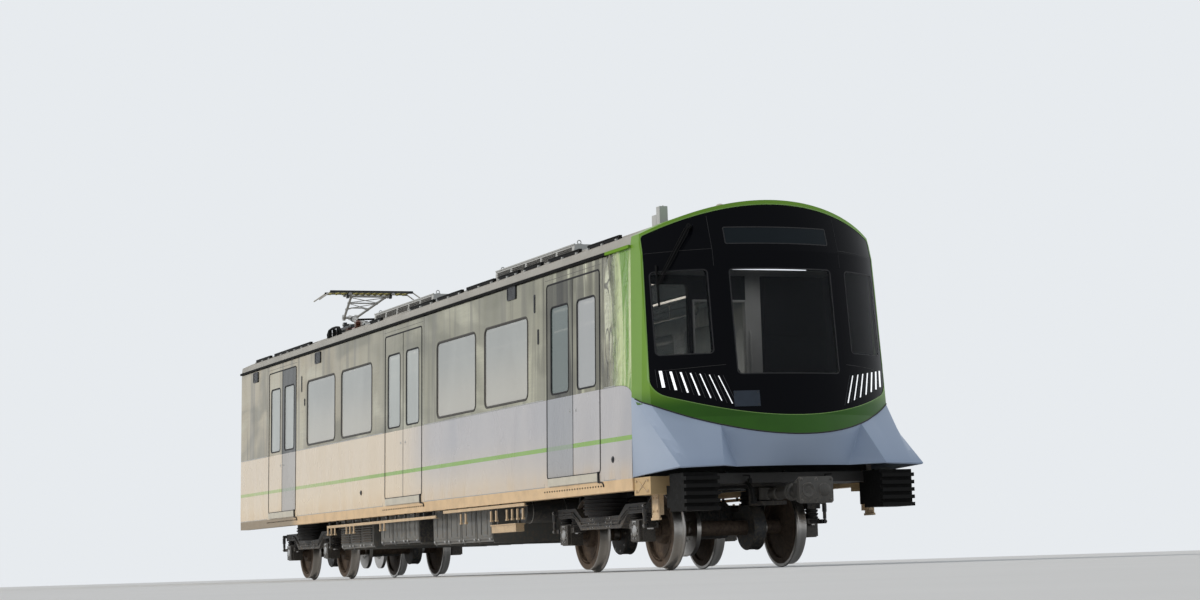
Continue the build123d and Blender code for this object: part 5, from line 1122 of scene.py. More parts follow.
braces = Shape()
arch = ((-1, 0), (-0.5, 0.03), (0.5, 0.03), (1, 0))
braces.tube([on_upper(0.38, across, rise) for across, rise in arch], 0.012, 10)
braces.tube([on_upper(0.68, -1), on_upper(0.68, 1)], 0.012, 10)
for start, end in ((0.42, 0.66), (0.70, 0.93)):
    for side in SIDES:
        braces.tube([on_upper(start, side), on_upper(end, -side)], 0.007, 8)
for side in SIDES:
    for share in (0.05, 0.38, 0.68, 0.95):
        along = on_upper(1, side) - on_upper(0, side)
        braces.lathe(on_upper(share, side) - along.normalized() * 0.015, along, (
            (0, 0.021), (0.003, 0.026), (0.027, 0.026), (0.030, 0.021)), 18)
    for y in (0.315, 0.352):
        braces.lathe((PANTO_X, side * y, APEX_Z), (0, side, 0), ((0, 0.034), (0.012, 0.034)), 20)
braces.done("upper_arm_fittings", "aluminium_tube", body="pantograph_upper_arm")

HEAD_SPRING_Y = 0.365
STRIP_HALF = 0.63
strips, rungs, springs = Shape(), Shape(), Shape()
for x in about(PANTO_X, 0.16):
    strips.box(about(x, 0.0215), about(0, STRIP_HALF), (4.654, 4.6701))
    for side in SIDES:
        strips.box(about(x, 0.024), (side * STRIP_HALF, side * 0.70), (4.630, 4.668))
        springs.lathe((x, side * HEAD_SPRING_Y, 4.600), UP, (
            (0, 0.024), (0.006, 0.027), (0.034, 0.027), (0.038, 0.02)), 18)
        for turn in range(3):
            springs.hoop((x, side * HEAD_SPRING_Y, 4.606 + 0.010 * turn), UP, 0.028, 0.003, 20, 5)
for step in range(13):
    y = -0.624 + 0.104 * step
    rungs.box(about(PANTO_X, 0.145), about(y, 0.024), (4.634, 4.650))
    rungs.box(about(PANTO_X, 0.145), about(y, 0.008), (4.624, 4.636))
strips.done("contact_strips", "carbon_strip", 0.003, body="pantograph_head")
rungs.done("head_rungs", "rung_paint", 0.002, body="pantograph_head")
springs.done("head_springs", "aluminium_tube", body="pantograph_head")

# Insulators and power bars beside the pantograph
arrester, cables = Shape(), Shape()
for x, y in ((-4.55, -0.72), (-5.05, 0.30)):
    base = roof_z(abs(y))
    arrester.box(about(x, 0.08), about(y, 0.08), (base - 0.02, base + 0.018))
    for step in range(4):
        arrester.lathe((x, y, base + 0.018 + 0.026 * step), UP, (
            (0, 0.034), (0.002, 0.066), (0.007, 0.068), (0.018, 0.040), (0.026, 0.034)), 24)
    arrester.lathe((x, y, base + 0.12), UP, ((0, 0.036), (0.014, 0.036), (0.018, 0.02)), 18)
arrester.done("roof_insulators", "insulator_brown")
cables.tube((
    (-4.58, 1.20, 3.735), (-4.57, 1.205, 3.79), (-4.49, 1.205, 3.845), (-4.33, 1.205, 3.862),
    (-4.12, 1.205, 3.862), (-3.96, 1.205, 3.845), (-3.88, 1.205, 3.79), (-3.87, 1.20, 3.735),
), 0.019, 10)
for x in (-4.45, -4.22, -3.99):
    cables.box(about(x, 0.014), (1.18, 1.23), (3.72, 3.842))
cables.mirror()
cables.tube((
    (-5.89, 0.30, 4.068), (-5.60, 0.30, 4.075), (-5.30, 0.30, 4.076), (-5.05, 0.30, 4.074),
    (-4.90, 0.10, 4.080), (-4.70, -0.40, 4.055), (-4.55, -0.72, 4.030),
), 0.016, 10)
cables.done("roof_power_bars", "gutter_dark")


# Front: the mask's edge and seams, gaskets, lamp strips and the smooth skirt

def arc_z(y, edge_y, edge_z, middle_z):
    """Height on an arc through (edge_y, edge_z) on both sides and (0, middle_z)."""
    sag = edge_z - middle_z
    radius = (edge_y ** 2 + sag ** 2) / (2 * abs(sag))
    return middle_z + math.copysign(radius - math.sqrt(radius ** 2 - y ** 2), sag)


def corner_curve(start, corner, end, steps):
    """Points of a soft corner, without its last point."""
    points = []
    for step in range(steps):
        t = step / steps
        points.append(tuple(
            (1 - t) ** 2 * a + 2 * t * (1 - t) * b + t ** 2 * c for a, b, c in zip(start, corner, end)))
    return points


def mask_points():
    """The mask's outline as (y, z) points, up its left side and over to its right side."""
    low, high = (1.424, 1.905), (1.390, 3.620)
    low_cut, high_cut = 1.283, 1.362
    low_end, high_start = (1.421, 2.058), (1.3906, 3.589)
    half = [(y, arc_z(y, *low, 1.618)) for y in (low_cut * step / 14 for step in range(14))]
    half += corner_curve((low_cut, arc_z(low_cut, *low, 1.618)), low, low_end, 8)
    half += [partway(low_end, high_start, step / 10) for step in range(10)]
    half += corner_curve(high_start, high, (high_cut, arc_z(high_cut, *high, 3.940)), 4)
    half += [(y, arc_z(y, *high, 3.940)) for y in (high_cut * (1 - step / 14) for step in range(15))]
    return half + [(-y, z) for y, z in reversed(half[1:-1])]


def grown(points, grow):
    """A closed row of points moved out square to its own line."""
    moved = []
    for place, (across, upward) in enumerate(points):
        before, after = points[place - 1], points[(place + 1) % len(points)]
        along = Vector((after[0] - before[0], after[1] - before[1])).normalized()
        moved.append((across + along.y * grow, upward - along.x * grow))
    return moved


def on_face(point, lift):
    return face_point(point[0], point[1], lift)[0]


def fine(outline, step=0.06):
    """An outline maker with points added on its long runs."""
    def maker(grow):
        points, result = outline(grow), []
        for place, point in enumerate(points):
            after = points[(place + 1) % len(points)]
            count = max(1, round(math.dist(point, after) / step))
            result += [partway(point, after, part / count) for part in range(count)]
        return result
    return maker


mask_line = mask_points()
trim = Shape()
trim.frame_ring(lambda grow: grown(mask_line, grow), on_face, (
    (0.005, -0.010), (0.005, 0.001), (0.002, 0.0025), (-0.002, 0.001), (-0.003, -0.010)))
trim.done("mask_edge_trim", "mask_edge")

gaskets = Shape()
for start, end, count in (
    # a seam's two ends as (y, z), and how many points it has
    ((0.76, 3.44), (1.39, 3.4197), 10), ((0.76, 3.25), (0.76, 3.81), 8), ((0.72, 2.17), (1.35, 2.1294), 10),
):
    line = [partway(start, end, step / (count - 1)) for step in range(count)]
    gaskets.tube([on_face(point, -0.0055) for point in line], 0.003, 6)
gaskets.mirror()
for pane in (
    # middle, foot, width, height and corner radius of a pane
    (0, 2.07, 1.21, 1.14, 0.04), (1.09, 2.30, 0.52, 0.91, 0.04), (-1.09, 2.30, 0.52, 0.91, 0.04),
    (0, 3.495, 1.224, 0.18, 0.015),
):
    gaskets.frame_ring(fine(rounded(*pane)), on_face, (
        (0.009, -0.009), (0.008, -0.004), (-0.003, -0.003), (-0.005, -0.010)))
gaskets.done("mask_gaskets", "rubber")

STRIPS = 7
bezel, plates, lenses = Shape(), Shape(), Shape()
plates.loops([
    [on_face((y / 100, z), lift) for z, lift in (
        (1.715, -0.008), (1.715, -0.002), (1.885, -0.002), (1.885, -0.008))]
    for y in range(-67, -39, 3)
])
plates.done("mask_bare_plate", "bare_plate", 0.002)


def strip_ends(share):
    """A lamp strip's top and foot as (y, z), from the outermost strip at 0 to the innermost at 1."""
    top_y = 1.324 - 0.520 * share
    return (top_y, 2.131 - 0.080 * share), (top_y - 0.017 - 0.097 * share, 1.950 - 0.202 * share)


for step in range(STRIPS + 1):
    top, foot = strip_ends((step - 0.5) / (STRIPS - 1))
    ends = ((top[0], top[1] + 0.012), (foot[0], foot[1] - 0.012))
    bezel.tube([on_face(point, -0.006) for point in ends], 0.003, 6)
bezel.mirror()
for y, z in ((-0.65, 1.735), (-0.42, 1.735), (-0.65, 1.865), (-0.42, 1.865)):
    bezel.bolt(*face_point(y, z, -0.002), 0.006)
bezel.done("lamp_bezels", "dark_trim")
for step in range(STRIPS):
    share = step / (STRIPS - 1)
    half = 0.0045 + 0.0085 * (1 - share) ** 2
    section = ((-half, -0.008), (-half, 0.001), (0, 0.003), (half, 0.001), (half, -0.008))
    rows = [partway(*strip_ends(share), row / 8) for row in range(9)]
    lenses.loops([[on_face((y + edge, z), lift) for edge, lift in section] for y, z in rows])
lenses.mirror()
lens_piece = lenses.done("lamp_lenses", "lamp_lens", 0.0, 30)
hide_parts("lamp_strips")


def shell_side(x, z):
    """Half the cab shell's width beside its bevelled edge."""
    shift = face_x(0, z) - NOSE
    return min(wall_y(z), FACE_EDGE + (FACE_EDGE_X + shift - x) / 5.6)


def rim_point(y):
    """A point of the skirt's upper edge, just under the cab shell."""
    z = 1.41 + 2.965 - math.sqrt(2.965 ** 2 - y ** 2)
    return Vector((face_x(y, z), y, z - 0.006))


def ruled(shape, upper, lower, rows=5):
    """A surface of straight lines between two rows of points."""
    count = len(upper)
    points = []
    for row in range(rows + 1):
        points += [partway(a, b, row / rows) for a, b in zip(upper, lower)]
    faces = []
    for row in range(rows):
        for place in range(count - 1):
            corner = row * count + place
            faces.append((corner, corner + 1, corner + count + 1, corner + count))
    return shape.add(points, faces)


SEAL_LIFT = Vector((0.002, 0, 0.003))
skirt, seal = Shape(), Shape()
shoulder = [Vector((x, shell_side(x, z) + 0.003, z)) for x, z in (
    (8.20, 1.880), (8.27, 1.858), (8.34, 1.838), (8.42, 1.816), (8.50, 1.797), (8.57, 1.782))]
# Corners of the foot: a cheek's outer and inner one, and the coupler recess's
cheek_outer, cheek_inner, recess = (9.39, 1.44, 1.078), (9.44, 0.96, 1.088), (9.13, 0.66, 1.078)
rim = shoulder + [rim_point(1.42 - 0.586 * step / 14) for step in range(15)]
ruled(skirt, rim, [partway(cheek_outer, cheek_inner, step / (len(rim) - 1)) for step in range(len(rim))])
ruled(skirt, [(8.172, 1.4565, 1.886), shoulder[0]], [(8.172, 1.466, 1.018), cheek_outer])
ruled(skirt, [rim[-1], rim[-1]], [cheek_inner, recess])
skirt.mirror()
seal.tube([point + SEAL_LIFT for point in rim[1:]], 0.007, 8)
seal.mirror()
spread = [-1 + step / 10 for step in range(21)]
middle_rim = [rim_point(0.834 * share) for share in spread]
ruled(skirt, middle_rim, [
    (recess[0] + 0.1 * (1 - share * share), recess[1] * share, recess[2]) for share in spread])
seal.tube([point + SEAL_LIFT for point in middle_rim], 0.007, 8)
skirt_piece = skirt.done("smooth_skirt", "skirt_paint", 0.006, 18, plate=(0.022, AHEAD))
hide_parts("front_skirt")
seal.done("skirt_seal", "rubber")

# Brackets and bolts under the cab's sides, bolts and pipes on the headstock
brackets = Shape()
brackets.box((8.28, 8.48), (1.285, 1.300), (0.555, 0.825))
brackets.box((8.285, 8.300), (1.24, 1.30), (0.60, 0.825))
brackets.box((8.460, 8.475), (1.24, 1.30), (0.60, 0.825))
brackets.box((8.27, 8.49), (1.278, 1.308), (0.545, 0.570))
for x in (8.33, 8.43):
    for z in (0.64, 0.78):
        brackets.bolt((x, 1.300, z), ACROSS, 0.012)
for x, z in ((8.24, 0.86), (8.55, 0.86), (8.24, 0.97), (8.55, 0.97), (8.395, 0.915)):
    brackets.bolt((x, 1.45, z), ACROSS, 0.014)
brackets.tube([(8.27, 1.452, 0.985), (8.52, 1.452, 0.845)], 0.006, 6)
brackets.tube([(8.27, 1.452, 0.845), (8.52, 1.452, 0.985)], 0.006, 6)
brackets.mirror()
brackets.done("front_brackets", "tray_paint", 0.002)

bumper = Shape()
for y in (1.02, 1.155, 1.29):
    for z in (0.70, 0.945):
        bumper.bolt((9.02, y, 1.018), UP, 0.012)
bumper.box((8.72, 8.90), (1.00, 1.06), (0.66, 0.90))
bumper.box((8.72, 8.90), (1.25, 1.31), (0.66, 0.90))
bumper.tube([
    (8.80, 0.45, 0.93), (8.93, 0.45, 0.90), (9.02, 0.45, 0.84), (9.04, 0.44, 0.74),
], 0.021, 12)
bumper.lathe((9.04, 0.44, 0.745), DOWN, ((0, 0.028), (0.03, 0.028), (0.034, 0.034), (0.06, 0.034)), 16)
bumper.box((8.955, 9.005), (0.435, 0.465), (0.905, 0.955))
bumper.tube([(8.98, 0.45, 0.945), (8.98, 0.45, 0.985), (8.98, 0.53, 0.99)], 0.007, 8)
bumper.mirror()
bumper.done("headstock_pipes", "gutter_dark", 0.001)

# Wiper: a second rod beside the arm, claws that hold the blade, a rubber lip
rods = Shape()
arm_foot, arm_tip = Vector((8.8068, -0.9844, 3.6935)), Vector((8.651, -1.311, 3.055))
blade_top, blade_low = Vector((8.609, -1.301, 3.282)), Vector((8.664, -1.301, 2.825))
# The spindle's axis, square to the pane
wiper_out = Vector((0.8119, -0.5758, 0.0966))
arm_along = (arm_tip - arm_foot).normalized()
arm_across = arm_along.cross(wiper_out).normalized()
blade_across = (blade_low - blade_top).normalized().cross(wiper_out)
for offset in (0.026, -0.026):
    rods.tube([
        arm_foot + arm_across * offset * 0.5, arm_foot + arm_along * 0.06 + arm_across * offset,
        arm_tip - arm_along * 0.05 + arm_across * offset * 0.8, arm_tip + arm_across * offset * 0.3,
    ], 0.0055, 8)
for share in (0.16, 0.40, 0.62, 0.86):
    claw = []
    for turn in range(-20, 201, 20):
        out = blade_across * math.cos(math.radians(turn)) + wiper_out * math.sin(math.radians(turn))
        claw.append(blade_top.lerp(blade_low, share) + out * 0.0135)
    rods.tube(claw, 0.0025, 6)
lip = ((0.14, 0.016), (0.5, 0.024), (0.88, 0.016))
rods.tube([blade_top.lerp(blade_low, share) + wiper_out * lift for share, lift in lip], 0.005, 8)
rods.done("wiper_rods", "gutter_dark", body="windscreen_wiper")

# Couplers: the front one is modelled whole, the drawbar gets bolts and a rubber sleeve
COUPLER_Z = 0.80
COUPLER_FACE = 9.655
head = Shape()
head.lathe((8.50, 0, 0.73), UP, (
    (0, 0.0415), (0, 0.104), (0.006, 0.110), (0.134, 0.110), (0.14, 0.104), (0.14, 0.0415)), 40, closed=True)
head.lathe((8.585, 0, COUPLER_Z), AHEAD, (
    (0, 0.050), (0.02, 0.068), (0.16, 0.068), (0.165, 0.078), (0.20, 0.078), (0.205, 0.068), (0.47, 0.068),
    (0.475, 0.095), (0.50, 0.095), (0.505, 0.082), (0.53, 0.082), (0.535, 0.095), (0.56, 0.095),
    (0.565, 0.070), (0.80, 0.070)), 32)
head_sections = (
    # x, half width, half height, corner
    (9.340, 0.085, 0.075, 0.02), (9.400, 0.125, 0.095, 0.03), (9.470, 0.180, 0.120, 0.04),
    (9.600, 0.190, 0.128, 0.04), (9.604, 0.200, 0.139, 0.02), (9.654, 0.200, 0.139, 0.02),
    (9.658, 0.194, 0.133, 0.018),
)
loops = []
for x, half_y, half_z, cut in head_sections:
    loops.append([(x, y, COUPLER_Z + z) for y, z in (
        (half_y, half_z - cut), (half_y - cut, half_z), (-half_y + cut, half_z), (-half_y, half_z - cut),
        (-half_y, -half_z + cut), (-half_y + cut, -half_z), (half_y - cut, -half_z),
        (half_y, -half_z + cut))])
head.loops(loops)
head.lathe((COUPLER_FACE, 0.095, COUPLER_Z), AHEAD, (
    (0, 0.070), (0.006, 0.068), (0.018, 0.046), (0.0245, 0.020)), 32)
head.lathe((COUPLER_FACE, -0.095, COUPLER_Z), AHEAD, (
    (0, 0.078), (0.014, 0.074), (0.014, 0.064), (0.006, 0.046), (0, 0.040)), 32, closed=True)
for y in (-0.175, 0, 0.175):
    for z in (-0.112, 0.112):
        head.bolt((COUPLER_FACE + 0.002, y, COUPLER_Z + z), AHEAD, 0.012)
head.tube([(9.42, -0.06, 0.893), (9.46, -0.06, 0.928), (9.58, -0.06, 0.934)], 0.010, 8)
head.lathe((9.51, 0.155, 0.926), UP, ((0, 0.022), (0.008, 0.022), (0.010, 0.012)), 16)
head_piece = head.done("coupler_whole", "cast_steel", 0.002, 35, body="coupler_front")
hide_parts("coupler_front")

sleeve = Shape()
sleeve.lathe((-9.44, 0, COUPLER_Z), AHEAD, [
    (0.022 * step, 0.088 if step % 2 else 0.074) for step in range(15)], 32)
sleeve.done("drawbar_sleeve", "rubber", body="drawbar_rear", slot="bellows_rubber")
nuts = Shape()
nuts.bolt_circle((-9.62, 0, COUPLER_Z), AHEAD, 0.118, 10, 0.016, 0.5)
nuts.lathe((-9.19, 0, COUPLER_Z), AHEAD, ((0, 0.080), (0.03, 0.080), (0.034, 0.07)), 28)
nuts.done("drawbar_nuts", "bright_steel", body="drawbar_rear")

# Cab inside: bulkhead with a glazed side, linings, ceiling with its lamp, desk, driver's seat
BULKHEAD = (7.33, 7.39)
BULKHEAD_GLASS = (0.38, 1.27)
CABINET_EDGE = 0.52
BULKHEAD_SILL = 1.95
BULKHEAD_HEAD = 3.24
CAB_DOOR_HALF = 0.33
CAB_DOOR_TOP = 3.05
WALL_DEPTH = 0.080


def inner_y(z):
    """Half the room between the side walls at a height."""
    return wall_y(z) - WALL_DEPTH - 0.003


def wall_panel(shape, side, x, z, low_y):
    """A block from low_y out to the leaning inner face of the side wall."""
    return shape.loops([
        [(x[0], side * low_y, height), (x[1], side * low_y, height),
         (x[1], side * inner_y(height), height), (x[0], side * inner_y(height), height)]
        for height in z
    ])


posts, panels, panes = Shape(), Shape(), Shape()
posts.box(BULKHEAD, (CAB_DOOR_HALF, CABINET_EDGE), (FLOOR_TOP, CEILING))
posts.tube([(7.405, 0.36, 1.90), (7.430, 0.36, 1.95), (7.430, 0.36, 2.65), (7.405, 0.36, 2.70)], 0.012, 12)
panels.box(BULKHEAD, (-CAB_DOOR_HALF, -BULKHEAD_GLASS[0]), (FLOOR_TOP, CEILING))
panels.box(BULKHEAD, (-CAB_DOOR_HALF, CAB_DOOR_HALF), (CAB_DOOR_TOP, CEILING))
wall_panel(panels, -1, BULKHEAD, (FLOOR_TOP, BULKHEAD_SILL), BULKHEAD_GLASS[0])
wall_panel(panels, -1, BULKHEAD, (BULKHEAD_HEAD, CEILING), BULKHEAD_GLASS[0])
wall_panel(panels, -1, BULKHEAD, (BULKHEAD_SILL, BULKHEAD_HEAD), BULKHEAD_GLASS[1])
wall_panel(panels, 1, BULKHEAD, (FLOOR_TOP, CEILING), CABINET_EDGE)
for z in (1.20, 1.92, 2.64):
    wall_panel(panels, 1, (7.388, 7.400), (z, z + 0.66), CABINET_EDGE + 0.04)
    panels.lathe((7.400, CABINET_EDGE + 0.10, z + 0.33), AHEAD, (
        (0, 0.016), (0.010, 0.016), (0.012, 0.010)), 16)
for y in (-CAB_DOOR_HALF, CAB_DOOR_HALF):
    posts.box((7.32, 7.40), about(y, 0.012), (FLOOR_TOP, CAB_DOOR_TOP))
posts.box((7.32, 7.40), (-CAB_DOOR_HALF, CAB_DOOR_HALF), (CAB_DOOR_TOP - 0.02, CAB_DOOR_TOP + 0.004))
posts_piece = posts.done("bulkhead_posts", "lining_panel", 0.004)
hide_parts("cab_bulkhead")
panels.done("bulkhead_panels", "cab_lining", 0.004)
width = BULKHEAD_GLASS[1] - BULKHEAD_GLASS[0]
height = BULKHEAD_HEAD - BULKHEAD_SILL
pane_outline = rounded(-(BULKHEAD_GLASS[0] + width / 2), BULKHEAD_SILL, width, height, 0.05)
panes.loops([[(x, y, z) for y, z in pane_outline(0.01)] for x in (7.354, 7.364)])
panes.done("partition_pane", "partition_glass")
partition_rim = Shape()
partition_rim.frame_ring(pane_outline, lambda point, lift: (7.36 + lift, point[0], point[1]), (
    (0.014, -0.034), (0.014, 0.034), (-0.012, 0.034), (-0.012, -0.034)))
partition_rim.done("partition_rubber", "rubber", 0.003)

linings = Shape()
for start, end in ((7.395, 7.90), (7.905, 8.50)):
    loops = []
    for z in (FLOOR_TOP + 0.005, CEILING - 0.005):
        y = inner_y(z)
        loops.append([(start, y - 0.012, z), (end, y - 0.012, z), (end, y, z), (start, y, z)])
    linings.loops(loops)
handle_line = ((8.06, 1.95), (8.08, 2.0), (8.08, 2.7), (8.06, 2.75))
linings.tube([(x, inner_y(z) - 0.045, z) for x, z in handle_line], 0.013, 12)
linings.mirror()
linings.box((7.925, 8.46), about(0, 1.14), (3.338, 3.356))
linings.box((8.44, 8.46), about(0, 1.14), (3.30, 3.356))
for x in (8.02, 8.24):
    linings.box(about(x, 0.003), about(0, 1.12), (3.333, 3.340))
for y in (-0.75, 0.95):
    linings.lathe((8.15, y, 3.341), DOWN, ((0, 0.075), (0.012, 0.075), (0.016, 0.065), (0.016, 0.03)), 28)
linings.done("cab_linings", "cab_lining", 0.003)

cab_lamp = Shape()
lamp_section = ((8.04, 3.333), (8.045, 3.321), (8.065, 3.321), (8.07, 3.333))
cab_lamp.loops([[(x, y, z) for x, z in lamp_section] for y in (-0.15, 0.30, 0.78)])
cab_lamp.done("cab_lamp_bar", "cab_light")

# Desk: panels, three displays, keys, the master handle
DESK_LOW = Vector((8.25, 0, 1.88))
DESK_HIGH = Vector((8.70, 0, 2.00))
desk_slope = (DESK_HIGH - DESK_LOW).normalized()
desk_normal = Vector((-desk_slope.z, 0, desk_slope.x))


def on_desk(distance, y, lift=0.0):
    """A point on the desk's sloped top: distance up the slope from its edge."""
    point = DESK_LOW + desk_slope * distance + desk_normal * lift
    return Vector((point.x, y, point.z))


def desk_plate(shape, distances, ys, lifts):
    """A block lying on the desk's slope."""
    near, far = distances
    low, high = lifts
    section = ((near, low), (far, low), (far, high), (near, high))
    return shape.loops([[on_desk(distance, y, lift) for distance, lift in section] for y in ys])


def tilted_box(shape, y, half, heights, depths):
    """A block on the desk's upper edge that leans back like the displays."""
    upward = Vector((0.20, 0, 0.98))
    back = Vector((0.98, 0, -0.20))
    low, high = heights
    return shape.loops([
        [on_desk(0.30, y + across) + upward * rise + back * depth
         for across, rise in ((-half, low), (half, low), (half, high), (-half, high))]
        for depth in depths
    ])


desk, screens, keys = Shape(), Shape(), Shape()
for y in (-0.62, 0.0, 0.62):
    tilted_box(desk, y, 0.17, (0, 0.13), (0, 0.035))
    tilted_box(screens, y, 0.155, (0.018, 0.118), (-0.002, 0.004))
for ys in ((-1.05, -0.42), (-0.38, 0.38), (0.42, 1.05)):
    desk_plate(desk, (0.02, 0.27), ys, (-0.002, 0.006))
desk_plate(desk, (0.06, 0.20), (-0.30, -0.16), (0.004, 0.028))
desk.tube([(8.235, y, 1.865) for y in (-1.08, 0, 1.08)], 0.016, 12)
for y in (-1.05, -0.5, 0.5, 1.05):
    desk.box((8.235, 8.27), about(y, 0.012), (1.855, 1.88))
handle = [on_desk(0.13, -0.23, lift) for lift in (0.02, 0.09)]
desk.tube(handle, 0.008, 10)
desk.lathe(handle[1], desk_normal, ((-0.012, 0.012), (0, 0.022), (0.016, 0.024), (0.030, 0.014)), 20)
desk.done("desk_panels", "desk_plastic", 0.003)
screens.done("desk_screens", "desk_screen")
for y in (-0.95, -0.88, -0.81, -0.74, 0.10, 0.17, 0.24, 0.55, 0.62, 0.69, 0.76, 0.83):
    for distance in (0.08, 0.16):
        keys.lathe(on_desk(distance, y, 0.005), desk_normal, (
            (0, 0.018), (0.004, 0.018), (0.005, 0.013), (0.011, 0.012), (0.013, 0.008)), 16)
keys.done("desk_keys", "warning_yellow")


def swollen(size, corner, voxel, most):
    """A closed pad filled by a short cloth simulation: its points, about its own middle, and its faces."""
    build = bmesh.new()
    bmesh.ops.create_cube(build, size=1.0)
    bmesh.ops.scale(build, vec=size, verts=build.verts)
    bmesh.ops.bevel(build, geom=build.edges[:], offset=corner, segments=3, affect="EDGES")
    rough_mesh = bpy.data.meshes.new("pad")
    build.to_mesh(rough_mesh)
    build.free()
    pad = bpy.data.objects.new("pad", rough_mesh)
    bpy.context.collection.objects.link(pad)
    remesh = pad.modifiers.new("even", "REMESH")
    remesh.mode = "VOXEL"
    remesh.voxel_size = voxel
    graph = bpy.context.evaluated_depsgraph_get()
    pad.data = bpy.data.meshes.new_from_object(pad.evaluated_get(graph))
    pad.modifiers.clear()
    places = [vertex.co.copy() for vertex in pad.data.vertices]
    cloth = pad.modifiers.new("fill", "CLOTH")
    cloth.settings.use_pressure = True
    cloth.settings.uniform_pressure_force = 4.0
    cloth.settings.effector_weights.gravity = 0.0
    for number in range(1, 21):
        bpy.context.scene.frame_set(number)
    graph = bpy.context.evaluated_depsgraph_get()
    filled = pad.evaluated_get(graph).data.vertices
    for place, vertex in enumerate(filled):
        move = vertex.co - places[place]
        places[place] += move * min(1.0, most / max(move.length, 1e-6))
    bpy.context.scene.frame_set(1)
    faces = [tuple(polygon.vertices) for polygon in pad.data.polygons]
    bpy.data.objects.remove(pad)
    return places, faces


def sewn(places, lines, depth, width=0.012):
    """Presses sewn lines into a pad: lines is a row of (axis, coordinate)."""
    result = []
    for place in places:
        press = max(math.exp(-((place[axis] - at) / width) ** 2) for axis, at in lines)
        result.append(Vector((place.x, place.y, place.z * (1 - press * depth))))
    return result


def pad_piece(name, parts, finish, subdivide=False):
    """One padded piece from (points, faces) parts."""
    shape = Shape()
    for points, faces in parts:
        shape.add(points, faces)
    piece = shape.done(name, finish, 0.0, 60)
    if subdivide:
        modifier = piece.modifiers.new("smooth", "SUBSURF")
        modifier.levels = modifier.render_levels = 1
    return piece


DRIVER_X = 7.675
SEAT_BACK_X = 7.470
cushion, cushion_faces = swollen((0.46, 0.44, 0.070), 0.022, 0.010, 0.014)
cushion = sewn(cushion, ((1, -0.13), (1, 0.13), (0, -0.13)), 0.22)
cushion = [point + Vector((DRIVER_X + 0.025, 0, 1.613)) for point in cushion]
cushion_piece = pad_piece("driver_cushion", [(cushion, cushion_faces)], "driver_fabric", True)
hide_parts("driver_seat")
back, back_faces = swollen((0.52, 0.42, 0.060), 0.020, 0.010, 0.014)
back = sewn(back, ((1, -0.12), (1, 0.12), (0, 0.02)), 0.22)
back = [Vector((SEAT_BACK_X - 0.002 - point.z, point.y, 1.965 + point.x)) for point in back]
pad_piece("driver_back", [(back, back_faces)], "driver_fabric", True)
rest, rest_faces = swollen((0.09, 0.24, 0.050), 0.018, 0.009, 0.010)
rest = [Vector((SEAT_BACK_X + 0.002 - point.z, point.y, 2.300 + point.x)) for point in rest]
pad_piece("driver_headrest", [(rest, rest_faces)], "driver_fabric", True)

pedestal = Shape()
pedestal.box((7.50, 7.90), (0.13, 0.17), (1.525, 1.56))
pedestal.tube([
    (7.425, 0.235, 1.84), (7.47, 0.262, 1.875), (7.54, 0.27, 1.880), (7.72, 0.27, 1.880)], 0.012, 10)
pedestal.loops([
    [(x, y, z) for y, z in ((0.242, 1.885), (0.298, 1.885), (0.292, 1.912), (0.248, 1.912))]
    for x in (7.50, 7.76)
])
pedestal.tube([(7.445, 0.07, z) for z in (2.20, 2.29)], 0.007, 8)
pedestal.mirror()
pedestal.lathe((DRIVER_X, 0, FLOOR_TOP), UP, (
    (0, 0.17), (0.010, 0.17), (0.016, 0.15), (0.020, 0.075), (0.10, 0.070), (0.12, 0.095), (0.15, 0.075),
    (0.18, 0.095), (0.21, 0.075), (0.24, 0.095), (0.27, 0.075), (0.30, 0.095), (0.33, 0.070),
    (0.40, 0.070)), 36)
pedestal.bolt_circle((DRIVER_X, 0, FLOOR_TOP + 0.014), UP, 0.15, 10, 0.008)
pedestal.box((7.46, 7.93), about(0, 0.21), (1.555, 1.578))
pedestal.loops([[(x, y, z) for y, z in rounded(0, 1.66, 0.43, 0.61, 0.06)(0)] for x in (7.402, 7.432)])
pedestal.tube([(7.90, 0.10, 1.53), (7.96, 0.12, 1.515), (7.97, 0.16, 1.515)], 0.006, 8)
pedestal.done("driver_seat_frame", "desk_plastic", 0.002)

# Saloon: ceiling lamps, handrails, and cloth pads on the long seats
SEAT_PITCH = 0.46
SEAT_PLACES = 9
BENCHES = (1.10, -5.38)
SEAT_AT = (1.095, 1.585)
BACK_AT = (1.262, 1.825)
LAMP_Y = 0.50
RAIL_Y = 0.66
RAIL_Z = 3.12
RAIL_TOP = 3.33
tubes, ceiling_trims, handrails = Shape(), Shape(), Shape()
lamp_section = ((-0.055, 3.330), (-0.045, 3.319), (0.045, 3.319), (0.055, 3.330))
for part in range(11):
    start = -8.95 + 1.475 * part
    tubes.loops([[(x, LAMP_Y + across, z) for across, z in lamp_section] for x in (start, start + 1.44)])
for y in about(LAMP_Y, 0.070):
    ceiling_trims.box((-9.0, 7.25), about(y, 0.010), (3.316, 3.334))
ceiling_trims.box((-9.1, 7.28), (1.02, 1.05), (3.318, 3.334))
for part in range(24):
    x = -8.8 + 0.68 * part
    ceiling_trims.box((x, x + 0.50), (0.72, 0.735), (3.322, 3.334))
for start, end in ((-8.9, -7.7), (-5.4, -1.2), (1.1, 5.3)):
    handrails.tube([(x, RAIL_Y, z) for x, z in (
        (start, RAIL_TOP), (start, 3.16), (start + 0.04, RAIL_Z), (end - 0.04, RAIL_Z), (end, 3.16),
        (end, RAIL_TOP))], 0.016, 12)
    for step in range(1, 5):
        x = start + (end - start) * step / 5
        handrails.tube([(x, RAIL_Y, RAIL_Z), (x, RAIL_Y, RAIL_TOP)], 0.011, 10)
tubes.mirror()
ceiling_trims.mirror()
handrails.mirror()
tubes.done("saloon_lamps", "cabin_light")
